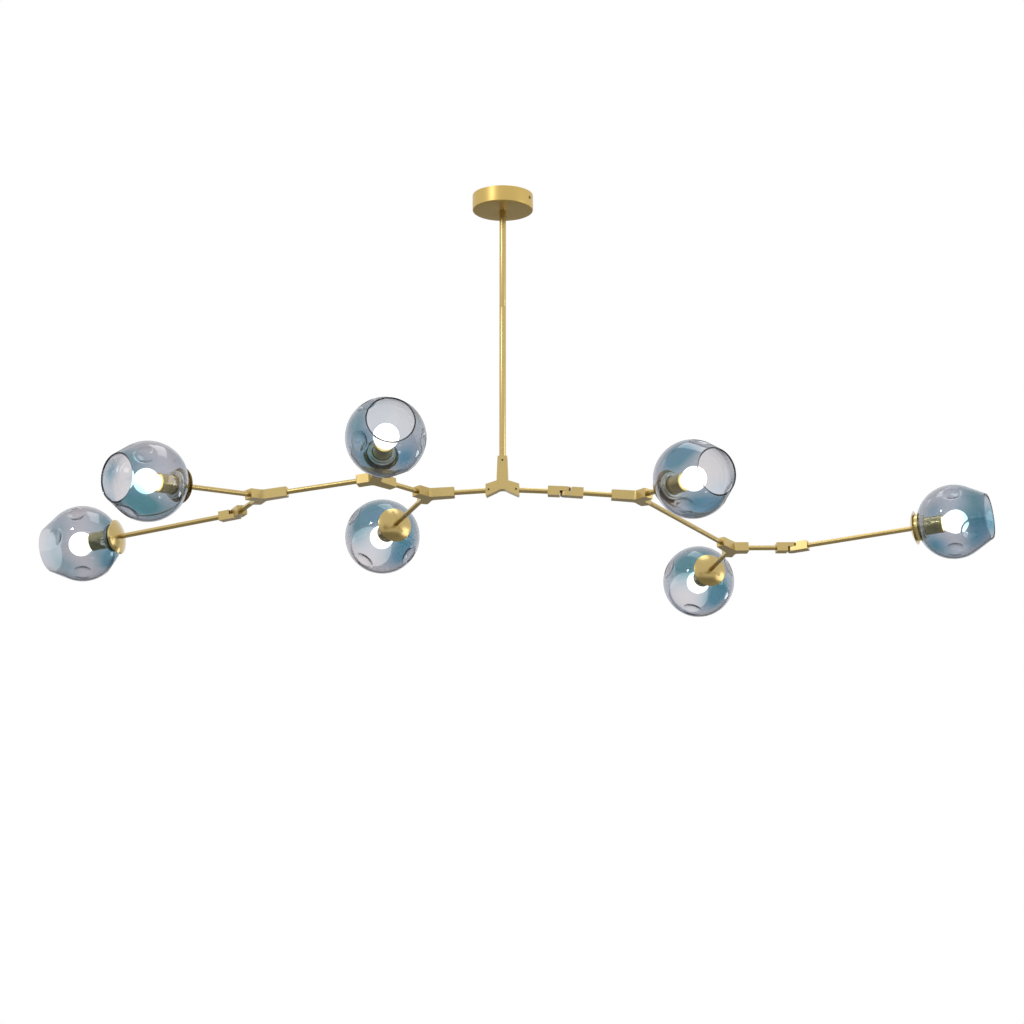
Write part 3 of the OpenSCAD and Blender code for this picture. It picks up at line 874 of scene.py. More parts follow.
def filed(
    name: str, node: str, place: Matrix, edge: float, finish: Finish, body: str = "frame"
) -> None:
    """Makes a piece from a CAD node that it replaces, with its edges broken.

    Args:
        name: The piece's name.
        node: The CAD node's name.
        place: The piece's own place, which its grain follows.
        edge: Width of the broken edges, in mm.
        finish: Its finish.
        body: The CAD body it rides on.
    """
    piece(name, softened(node, place, edge), finish, body, [node])


# ---------------------------------------------------------------- grown parts


class Growth:
    """A Geometry Nodes tree with named inputs, for what repeats or follows a path."""

    def __init__(self, name: str, sizes: dict[str, float]) -> None:
        """Starts a tree whose inputs are the sizes.

        Args:
            name: The tree's name.
            sizes: Its inputs and their usual values. Whole numbers make whole inputs.
        """
        self.tree = bpy.data.node_groups.new(name, "GeometryNodeTree")
        face = self.tree.interface
        face.new_socket("Geometry", in_out="OUTPUT", socket_type="NodeSocketGeometry")
        face.new_socket("Geometry", in_out="INPUT", socket_type="NodeSocketGeometry")
        self.identifiers: dict[str, str] = {}
        for label, value in sizes.items():
            kind = "NodeSocketInt" if isinstance(value, int) else "NodeSocketFloat"
            socket = face.new_socket(label, in_out="INPUT", socket_type=kind)
            socket.default_value = value
            self.identifiers[label] = socket.identifier
        socket = face.new_socket("Finish", in_out="INPUT", socket_type="NodeSocketMaterial")
        self.identifiers["Finish"] = socket.identifier
        self.bench = Bench(self.tree)
        self.source = self.bench.add("NodeGroupInput")

    def size(self, label: str) -> Line:
        """The tree's input of that name."""
        return self.source.also(label)

    def close(self, grown: Line) -> "Growth":
        """Ends the tree in Realize Instances and Set Material.

        Args:
            grown: The geometry.

        Returns:
            The growth itself.
        """
        real = self.bench.add("GeometryNodeRealizeInstances", {}, {"Geometry": grown})
        dressed = self.bench.add(
            "GeometryNodeSetMaterial", {}, {"Geometry": real, "Material": self.size("Finish")}
        )
        self.bench.add("NodeGroupOutput", {}, {"Geometry": dressed})
        return self

    def mesh(self, base: bpy.types.Mesh, finish: Finish, **sizes: float) -> bpy.types.Mesh:
        """Grows the tree on a mesh.

        Args:
            base: The mesh that the tree starts from.
            finish: The finish for what grows.
            **sizes: Values for the tree's inputs, with _ for a space.

        Returns:
            The plain mesh.
        """
        holder = shown("growth", base)
        modifier = holder.modifiers.new("growth", "NODES")
        modifier.node_group = self.tree
        modifier[self.identifiers["Finish"]] = finish.material()
        for label, value in sizes.items():
            modifier[self.identifiers[label.replace("_", " ")]] = value
        return smoothed(settled(holder))


def seeds(places: Sequence[Matrix], runs: Sequence[float]) -> bpy.types.Mesh:
    """A mesh of one point for each place, which instances are put on.

    Args:
        places: Where each instance starts. It points along its place's X axis.
        runs: Each instance's length, in mm.

    Returns:
        The points, with their directions, roll sides and runs as attributes.
    """
    mesh = bpy.data.meshes.new("seeds")
    mesh.from_pydata([tuple(p.translation) for p in places], [], [])
    for name, column in (("along", 0), ("side", 1)):
        layer = mesh.attributes.new(name, "FLOAT_VECTOR", "POINT")
        for item, place in zip(layer.data, places):
            item.vector = place.to_3x3().col[column]
    layer = mesh.attributes.new("run", "FLOAT", "POINT")
    for item, run in zip(layer.data, runs):
        item.value = run * MM
    return mesh


def spread(growth: Growth, instance: Line, stretch: bool) -> Line:
    """Puts an instance that points along Z on every seed.

    Args:
        growth: The tree.
        instance: The geometry to repeat.
        stretch: True to stretch each instance to its seed's run.

    Returns:
        The instances.
    """
    bench = growth.bench
    along, side, run = (
        bench.add("GeometryNodeInputNamedAttribute", {"data_type": kind}, {"Name": name})
        for name, kind in (("along", "FLOAT_VECTOR"), ("side", "FLOAT_VECTOR"), ("run", "FLOAT"))
    )
    aimed = bench.add(
        "FunctionNodeAlignRotationToVector", {"axis": "Z"}, {"Factor": 1.0, "Vector": along}
    )
    aimed = bench.add(
        "FunctionNodeAlignRotationToVector",
        {"axis": "X", "pivot_axis": "Z"},
        {"Rotation": aimed, "Factor": 1.0, "Vector": side},
    )
    inputs: dict[object, object] = {
        "Points": growth.size("Geometry"),
        "Instance": instance,
        "Rotation": aimed,
    }
    if stretch:
        inputs["Scale"] = bench.xyz(1.0, 1.0, run)
    return bench.add("GeometryNodeInstanceOnPoints", {}, inputs)


def standing(bench: Bench, sides: int, radius: Line, height: Line, foot: object) -> Line:
    """A cylinder that stands on a height.

    Args:
        bench: The tree.
        sides: Its number of sides.
        radius: Its radius.
        height: Its height.
        foot: Height of its foot.

    Returns:
        The cylinder.
    """
    made = bench.add(
        "GeometryNodeMeshCylinder",
        {"fill_type": "NGON"},
        {"Vertices": sides, "Side Segments": 1, "Radius": radius, "Depth": height},
        "Mesh",
    )
    return bench.lifted(made, height * 0.5 + foot)


def grained(bench: Bench, grown: Line) -> Line:
    """Keeps each point's place in its instance as the grain.

    Args:
        bench: The tree.
        grown: The instance's geometry, which points along Z.

    Returns:
        The geometry with its grain.
    """
    where = bench.add("GeometryNodeInputPosition")
    across = bench.add("ShaderNodeSeparateXYZ", {}, {"Vector": where})
    swapped = bench.xyz(across, across.also("Z"), across.also("Y"))
    return bench.add(
        "GeometryNodeStoreNamedAttribute",
        {"data_type": "FLOAT_VECTOR", "domain": "POINT"},
        {"Geometry": grown, "Name": "grain", "Value": swapped},
    )


def tube_growth() -> Growth:
    """Tubes: each seed grows a tube of its run.

    Returns:
        The tree.
    """
    growth = Growth("tubes", {"Radius": 5 * MM, "Wall": 1 * MM, "Sides": 48})
    bench = growth.bench
    radius, wall = growth.size("Radius"), growth.size("Wall")
    path = bench.add(
        "GeometryNodeCurvePrimitiveCircle",
        {"mode": "RADIUS"},
        {"Resolution": growth.size("Sides"), "Radius": radius - wall * 0.5},
    )
    section = bench.add(
        "GeometryNodeCurvePrimitiveQuadrilateral",
        {"mode": "RECTANGLE"},
        {"Width": wall, "Height": 1.0},
    )
    tube = bench.add("GeometryNodeCurveToMesh", {}, {"Curve": path, "Profile Curve": section})
    tube = bench.lifted(tube, 0.5)
    return growth.close(spread(growth, grained(bench, tube), True))


class Drive(Enum):
    """The recess in a screw's head."""

    HEXAGON = 6
    SLOT = 4


@lru_cache
def screw_growth(drive: Drive) -> Growth:
    """Screws: each seed grows a screw that points along its direction, head last.

    Args:
        drive: The recess in the head.

    Returns:
        The tree.
    """
    growth = Growth(
        f"{drive.name.lower()}_screws",
        {
            "Shank Radius": 2 * MM,
            "Shank Length": 4 * MM,
            "Head Radius": 2 * MM,
            "Head Height": 1 * MM,
            "Recess Width": 1 * MM,
            "Recess Depth": 1 * MM,
        },
    )
    bench = growth.bench
    length, height = growth.size("Shank Length"), growth.size("Head Height")
    shank = standing(bench, 32, growth.size("Shank Radius"), length, 0.0)
    head = standing(bench, 32, growth.size("Head Radius"), height, length)
    depth, width = growth.size("Recess Depth"), growth.size("Recess Width")
    floor = length + height - depth
    if drive is Drive.HEXAGON:
        tool = standing(bench, 6, width, depth * 2.0, floor)
    else:
        size = bench.xyz(0.05, width, depth * 2.0)
        tool = bench.add("GeometryNodeMeshCube", {}, {"Size": size}, "Mesh")
        tool = bench.lifted(tool, length + height)
    head = bench.add(
        "GeometryNodeMeshBoolean",
        {"operation": "DIFFERENCE", "solver": "EXACT"},
        {"Mesh 1": head, "Mesh 2": tool},
        "Mesh",
    )
    whole = bench.add("GeometryNodeJoinGeometry", {}, {"Geometry": [shank, head]})
    return growth.close(spread(growth, grained(bench, whole), False))


@dataclass(frozen=True)
class Screw:
    """A kind of screw, in mm.

    Attributes:
        drive: The recess in its head.
        shank_r: The shank's radius.
        head_r: The head's radius.
        head: The head's height.
        recess_w: Width of a slot, or radius of a socket's corners.
        recess: The recess's depth.
    """

    drive: Drive
    shank_r: float
    head_r: float
    head: float
    recess_w: float
    recess: float

    def mesh(self, feet: Sequence[Matrix], shank: float, finish: Finish) -> bpy.types.Mesh:
        """Grows such screws.

        Args:
            feet: Where each screw starts. It points along its foot's X axis.
            shank: The shank's length, in mm.
            finish: Their finish.

        Returns:
            The mesh.
        """
        return screw_growth(self.drive).mesh(
            seeds(feet, [1.0] * len(feet)),
            finish,
            Shank_Radius=self.shank_r * MM,
            Shank_Length=shank * MM,
            Head_Radius=self.head_r * MM,
            Head_Height=self.head * MM,
            Recess_Width=self.recess_w * MM,
            Recess_Depth=self.recess * MM,
        )


@lru_cache
def rib_growth() -> Growth:
    """Grip ribs: short round bars in a ring about Z, one for each count.

    Returns:
        The tree.
    """
    growth = Growth(
        "grip_ribs",
        {"Count": 40, "Ring Radius": 33 * MM, "Rib Radius": 0.8 * MM, "Rib Length": 4 * MM},
    )
    bench = growth.bench
    ring = bench.add(
        "GeometryNodeMeshCircle",
        {"fill_type": "NONE"},
        {"Vertices": growth.size("Count"), "Radius": growth.size("Ring Radius")},
    )
    rib = standing(bench, 8, growth.size("Rib Radius"), growth.size("Rib Length"), 0.0)
    inputs = {"Points": ring, "Instance": grained(bench, rib)}
    return growth.close(bench.add("GeometryNodeInstanceOnPoints", {}, inputs))


@lru_cache
def thread_growth() -> Growth:
    """The rolled thread of a bulb's cap: a round wire wound about Z.

    Returns:
        The tree.
    """
    growth = Growth(
        "cap_thread",
        {"Turns": 5.0, "Radius": 12.8 * MM, "Height": 16 * MM, "Wire Radius": 0.8 * MM},
    )
    bench = growth.bench
    path = bench.add(
        "GeometryNodeCurveSpiral",
        {},
        {
            "Resolution": 36,
            "Rotations": growth.size("Turns"),
            "Start Radius": growth.size("Radius"),
            "End Radius": growth.size("Radius"),
            "Height": growth.size("Height"),
        },
    )
    section = bench.add(
        "GeometryNodeCurvePrimitiveCircle",
        {"mode": "RADIUS"},
        {"Resolution": 8, "Radius": growth.size("Wire Radius")},
    )
    wire = bench.add(
        "GeometryNodeCurveToMesh", {}, {"Curve": path, "Profile Curve": section, "Fill Caps": True}
    )
    return growth.close(grained(bench, wire))


# ---------------------------------------------------------------- the lamp's layout


@dataclass(frozen=True)
class Reach:
    """One run of the branches, from its parent's middle.

    Attributes:
        parent: The place it starts from.
        run: Its length, in mm.
        turn: Its turn from the parent's direction, in degrees.
        lift: How far it points up from the parent's plane, in degrees.
        roll: How far what it carries is rolled about it, in degrees.
    """

    parent: str
    run: float
    turn: float = 0.0
    lift: float = 0.0
    roll: float = 0.0

    def matrix(self) -> Matrix:
        """The step from the parent's place to this one."""
        return (
            turned(self.turn, "Z")
            @ turned(-self.lift, "Y")
            @ moved(self.run)
            @ turned(self.roll, "X")
        )


@dataclass(frozen=True)
class Joinery:
    """Sizes that the pieces share, in mm.

    Attributes:
        drop: The hub's middle, below the ceiling.
        yaw: The hub's turn about the stem, in degrees.
        droop: How far the first branches point down, in degrees.
        rod_r: The rods' radius.
        rod_wall: Their thickness.
        rod_seat: How deep they sit in blocks and knuckles.
        long_arm: A block's long arm, from its middle.
        short_arm: Its short arms.
        hub_wing: The hub's wings, from its middle.
        hub_arm: Its arm up to the stem.
        stem_seat: How deep the stem sits in that arm.
        stem_r: The stem's radius.
        block_h: A block's thickness.
        knuckle_half: A knuckle's half, from its pivot.
        set_back: A set screw, from the end of its arm.
        globe_r: A globe's radius.
        collar_r: Radius of the collar behind a globe.
        cup_back: A cup's back, behind the collar's seat.
        boss_reach: How far the cup's boss reaches in from its back.
    """

    drop: float = 602.0
    yaw: float = -3.0
    droop: float = 3.0
    rod_r: float = 5.0
    rod_wall: float = 1.0
    rod_seat: float = 12.0
    long_arm: float = 52.0
    short_arm: float = 34.0
    hub_wing: float = 32.5
    hub_arm: float = 66.0
    stem_seat: float = 20.0
    stem_r: float = 6.5
    block_h: float = 18.0
    knuckle_half: float = 34.0
    set_back: float = 6.0
    globe_r: float = 75.0
    collar_r: float = 27.0
    cup_back: float = 18.4
    boss_reach: float = 14.0

    @property
    def collar_x(self) -> float:
        """Where a lampholder's collar meets its globe, from the globe's middle."""
        return -math.sqrt(self.globe_r**2 - self.collar_r**2)

    @property
    def cup_apex(self) -> float:
        """A cup's back, from the globe's middle."""
        return self.collar_x - self.cup_back

    @property
    def boss_end(self) -> float:
        """End of a cup's boss and of its rod, from the globe's middle."""
        return self.cup_apex + self.boss_reach


SIZES = Joinery()
REACHES: dict[str, Reach] = {
    "block_left_1": Reach("left", 145, roll=3.5),
    "block_left_2": Reach("block_left_1", 149, turn=52, roll=2.5),
    "block_left_3": Reach("block_left_2", 224, turn=-61, roll=-6.5),
    "knuckle_left": Reach("block_left_3", 141, turn=-53),
    "arm_left": Reach("knuckle_left", 0, turn=44),
    "knuckle_inner": Reach("right", 122),
    "branch_right": Reach("knuckle_inner", 0, turn=6.5),
    "block_right_1": Reach("branch_right", 141, roll=-1.5),
    "block_right_2": Reach("block_right_1", 408, turn=56, roll=-6.5),
    "knuckle_outer": Reach("block_right_2", 127, turn=-52),
    "arm_right": Reach("knuckle_outer", 0, turn=-29),
    "lamp_1": Reach("arm_left", 340),
    "lamp_2": Reach("block_left_3", 279, turn=58),
    "lamp_3": Reach("block_left_2", 176, turn=51, lift=5),
    "lamp_4": Reach("block_left_1", 279, turn=-66),
    "lamp_5": Reach("block_right_1", 171, turn=-59),
    "lamp_6": Reach("block_right_2", 230, turn=44),
    "lamp_7": Reach("arm_right", 339),
}


def all_places() -> dict[str, Matrix]:
    """Works out every place of the chandelier.

    Returns:
        Each place: +X runs away from the hub and +Z is up.
    """
    places = {"hub": moved(z=-SIZES.drop) @ turned(SIZES.yaw, "Z")}
    places["right"] = places["hub"] @ turned(SIZES.droop, "Y")
    places["left"] = places["hub"] @ turned(180, "Z") @ turned(SIZES.droop, "Y")
    for name, reach in REACHES.items():
        places[name] = places[reach.parent] @ reach.matrix()
    return places


PLACES = all_places()
BODIES: dict[str, str] = {
    "arm_left": "left_arm",
    "lamp_1": "left_arm",
    "branch_right": "right_branch",
    "block_right_1": "right_branch",
    "block_right_2": "right_branch",
    "knuckle_outer": "right_branch",
    "lamp_5": "right_branch",
    "lamp_6": "right_branch",
    "arm_right": "right_arm",
    "lamp_7": "right_arm",
}


def body_at(place: str) -> str:
    """The CAD body that carries a place."""
    return BODIES.get(place, "frame")


# ---------------------------------------------------------------- sub-assemblies


@dataclass
class CeilingFitting:
    """Canopy, its side screws, and what is inside it.

    Attributes:
        radius: The canopy's radius, in mm.
        height: Its height.
        wall: Its thickness.
        lip: Radius of its lower edge.
        turn: Angle of the side screws.
        edge: Width of the inner parts' broken edges.
        side_screw: The side screws.
        side_foot: Where they start, out from the axis and up from the ceiling.
        side_shank: Their shanks' length.
        block_screw: The terminal block's screw.
        block_foot: Where it starts.
        block_shank: Its shank's length.
    """

    radius: float = 60.0
    height: float = 32.0
    wall: float = 1.5
    lip: float = 2.5
    turn: float = -25.5
    edge: float = 0.3
    side_screw: Screw = Screw(Drive.SLOT, 2.0, 3.6, 2.1, 1.0, 0.9)
    side_foot: tuple[float, float] = (51.0, -12.0)
    side_shank: float = 9.05
    block_screw: Screw = Screw(Drive.SLOT, 1.5, 2.8, 1.8, 0.7, 0.8)
    block_foot: tuple[float, float] = (-16.0, -20.0)
    block_shank: float = 8.0

    def build(self) -> None:
        """Builds the fitting's pieces."""
        inner, hole = self.radius - self.wall, SIZES.stem_r + 0.1
        outline = rounded(
            [
                (0, self.radius, 0.35),
                (-self.height, self.radius, self.lip),
                (-self.height, hole, 0.4),
                (-self.height + self.wall, hole, 0.4),
                (-self.height + self.wall, inner, self.lip - self.wall),
                (0, inner, 0.35),
            ],
            8,
        )
        piece("canopy_shell", lathe(outline, UPWARD, 192), CANOPY_BRASS, "frame", ["canopy"])
        self.screws()
        place = turned(self.turn, "Z")
        filed("mounting_bracket_dressed", "mounting_bracket", place, self.edge, STEEL)
        filed("terminal_block_dressed", "terminal_block", place, self.edge, PORCELAIN)
        filed("stem_fittings_dressed", "stem_fittings", Matrix(), 0.25, STEEL)

    def screws(self) -> None:
        """Builds the slotted side screws and the terminal block's screw."""
        out, up = self.side_foot
        feet = [turned(self.turn + half, "Z") @ moved(out, z=up) for half in (0, 180)]
        screws = self.side_screw.mesh(feet, self.side_shank, SPUN)
        piece("canopy_side_screws", screws, SPUN, "frame", ["canopy_screws"])
        out, up = self.block_foot
        foot = turned(self.turn, "Z") @ moved(out, z=up) @ UPWARD
        screw = self.block_screw.mesh([foot], self.block_shank, STEEL)
        piece("terminal_screw", screw, STEEL, "frame")


@dataclass
class Stem:
    """The two tubes between canopy and hub.

    Attributes:
        top: Height of the upper tube's end, in mm.
        seam: Height of the seam between the tubes.
        bore: The nipples' radius.
    """

    top: float = -14.0
    seam: float = -232.0
    bore: float = 5.0

    def build(self) -> None:
        """Builds both tubes, with the fine chamfers of their meeting ends."""
        foot = -SIZES.drop + SIZES.hub_arm - SIZES.stem_seat
        for node, low, high in (
            ("stem_upper", self.seam, self.top),
            ("stem_lower", foot, self.seam),
        ):
            outline = rounded(
                [
                    (low, SIZES.stem_r, 0.4),
                    (high, SIZES.stem_r, 0.4),
                    (high, self.bore, 0.2),
                    (low, self.bore, 0.2),
                ],
                3,
            )
            mesh = lathe(outline, UPWARD, 72, 60.0)
            piece(f"{node}_tube", mesh, BRUSHED, "frame", [node])


@dataclass
class Blocks:
    """The hub and the branching blocks, with their filed edges.

    Attributes:
        edge: Width of the filed edges, in mm.
    """

    edge: float = 0.45

    def build(self) -> None:
        """Builds the hub and each block."""
        hub = PLACES["hub"] @ turned(90, "Y")
        filed("hub_body", "hub_block", hub, self.edge, BRUSHED)
        for name in (n for n in REACHES if n.startswith("block_")):
            filed(f"{name}_body", name, PLACES[name], self.edge, BRUSHED, body_at(name))


@dataclass
class Knuckles:
    """The three half-lap swivels, each of two halves, a pivot screw and a friction ring.

    Attributes:
        edge: Width of the filed edges, in mm.
        pivot_edge: The same on the pivots.
        arms: The place that each knuckle's swinging half carries.
    """

    edge: float = 0.4
    pivot_edge: float = 0.15
    arms: tuple[tuple[str, str], ...] = (
        ("left", "arm_left"),
        ("inner", "branch_right"),
        ("outer", "arm_right"),
    )

    def build(self) -> None:
        """Builds the halves and the pivots."""
        for side, arm in self.arms:
            here, pivot = f"knuckle_{side}", f"pivot_{side}"
            for half, place in ((f"{here}_fixed", here), (f"{here}_swing", arm)):
                body = body_at(place)
                filed(f"{half}_half", half, PLACES[place], self.edge, BRUSHED, body)
            edge = self.pivot_edge
            filed(f"{pivot}_screw", pivot, PLACES[here], edge, STEEL, body_at(here))


@dataclass
class Rods:
    """Every tube between hub, blocks, knuckles and lamps.

    Attributes:
        sides: Sides of each tube.
        nodes: The CAD nodes that each body's tubes stand for.
    """

    sides: int = 48
    nodes: dict[str, Sequence[str]] = field(
        default_factory=lambda: {
            "frame": ["branch_rods_left", "branch_rod_inner", "lamp_rods_left"],
            "left_arm": ["lamp_rod_1"],
            "right_branch": ["branch_rods_right", "lamp_rods_right"],
            "right_arm": ["lamp_rod_7"],
        }
    )

    def ends(self, place: str, near: bool) -> float:
        """How far from a place's middle a rod's end is seated, in mm.

        Args:
            place: The place's name.
            near: True for the rod that leaves it, False for the one that comes to it.

        Returns:
            The distance.
        """
        if place in ("left", "right"):
            return SIZES.hub_wing - SIZES.rod_seat
        if place.startswith(("knuckle", "arm", "branch")):
            return SIZES.knuckle_half - SIZES.rod_seat
        if place.startswith("lamp"):
            return -SIZES.boss_end
        return (SIZES.short_arm if near else SIZES.long_arm) - SIZES.rod_seat

    def build(self) -> None:
        """Builds the rods of each body as one piece."""
        groups: dict[str, tuple[list[Matrix], list[float]]] = {}
        for name, reach in REACHES.items():
            if reach.run == 0:
                continue
            start = self.ends(reach.parent, True)
            places, runs = groups.setdefault(body_at(name), ([], []))
            base = PLACES[reach.parent] @ turned(reach.turn, "Z") @ turned(-reach.lift, "Y")
            places.append(base @ moved(start))
            runs.append(reach.run - self.ends(name, False) - start)
        tubes = tube_growth()
        for body, (places, runs) in groups.items():
            mesh = tubes.mesh(
                seeds(places, runs),
                BRUSHED,
                Radius=SIZES.rod_r * MM,
                Wall=SIZES.rod_wall * MM,
                Sides=self.sides,
            )
            piece(f"rods_{body}", mesh, BRUSHED, body, self.nodes[body])


@dataclass
class SetScrews:
    """The hexagon-socket screws that hold rods and stem.

    Attributes:
        screw: The screws.
        sunk: How far they stop below the surface, in mm.
        lifted: How much further out a rod that points up holds its screw.
        stem_back: The stem's screw, from the end of the hub's long arm.
    """

    screw: Screw = Screw(Drive.HEXAGON, 2.0, 2.0, 1.6, 1.15, 1.5)
    sunk: float = 0.5
    lifted: float = 0.2
    stem_back: float = 9.0

    @property
    def top(self) -> float:
        """Distance of the screws' heads from the middle plane."""
        return SIZES.block_h / 2 - self.sunk

    def at(self, base: Matrix, reach: float, up: float = 0.0) -> tuple[Matrix, float]:
        """A screw on an arm.

        Args:
            base: The arm's place.
            reach: The arm's length.
            up: Extra height of the rod there.

        Returns:
            The foot's place, with +X up, and the screw's length.
        """
        foot = base @ moved(reach - SIZES.set_back, z=SIZES.rod_r + up) @ UPWARD
        return foot, self.top - SIZES.rod_r - up

    def build(self) -> None:
        """Builds all set screws, one piece for each group of them."""
        feet: dict[str, list[tuple[Matrix, float]]] = {"frame": [], "right_branch": []}
        for name, reach in REACHES.items():
            back, parent = PLACES[name] @ turned(180, "Z"), reach.parent
            if name.startswith("block_"):
                feet[body_at(name)].append(self.at(back, SIZES.long_arm))
            if parent.startswith("block_"):
                base = PLACES[parent] @ turned(reach.turn, "Z")
                up = (SIZES.short_arm - SIZES.set_back) * math.tan(math.radians(reach.lift))
                up += self.lifted if reach.lift else 0.0
                feet[body_at(parent)].append(self.at(base, SIZES.short_arm, up))
            if name.startswith("knuckle_"):
                feet[body_at(name)].append(self.at(back, SIZES.knuckle_half))
        feet["right_branch"].append(self.at(PLACES["branch_right"], SIZES.knuckle_half))
        feet["frame"] += self.hub_feet()
        for body, node in (("frame", "set_screws_left"), ("right_branch", "set_screws_right")):
            parts = [
                self.screw.mesh([foot], length - self.screw.head, DARK_STEEL)
                for foot, length in feet[body]
            ]
            piece(f"set_screws_{body}", joined(parts), DARK_STEEL, body, [node])

    def hub_feet(self) -> list[tuple[Matrix, float]]:
        """The hub's three screws, which point at the front.

        Returns:
            Each screw's foot and length.
        """
        wing = SIZES.hub_wing - SIZES.set_back
        low = -wing * math.tan(math.radians(SIZES.droop))
        hub, front = PLACES["hub"], turned(-90, "Z")
        feet = [
            (hub @ moved(side * wing, -SIZES.rod_r, low) @ front, self.top - SIZES.rod_r)
            for side in (-1, 1)
        ]
        stem = hub @ moved(0, -SIZES.stem_r, SIZES.hub_arm - self.stem_back) @ front
        feet.append((stem, self.top - SIZES.stem_r))
        return feet


@dataclass(frozen=True)
class Spot:
    """A place on a globe: its angle from the mouth's axis and about it, in degrees.

    Attributes:
        polar: Angle from the mouth's axis.
        about: Angle about it.
        size: Half width of a tint's patch, in degrees. A dimple needs none.
        weight: Strength of a tint's patch.
    """

    polar: float
    about: float
    size: float = 0.0
    weight: float = 1.0

    def direction(self) -> np.ndarray:
        """The spot's direction from the globe's middle."""
        p, a = math.radians(self.polar), math.radians(self.about)
        return np.array([math.cos(p), math.sin(p) * math.cos(a), math.sin(p) * math.sin(a)])


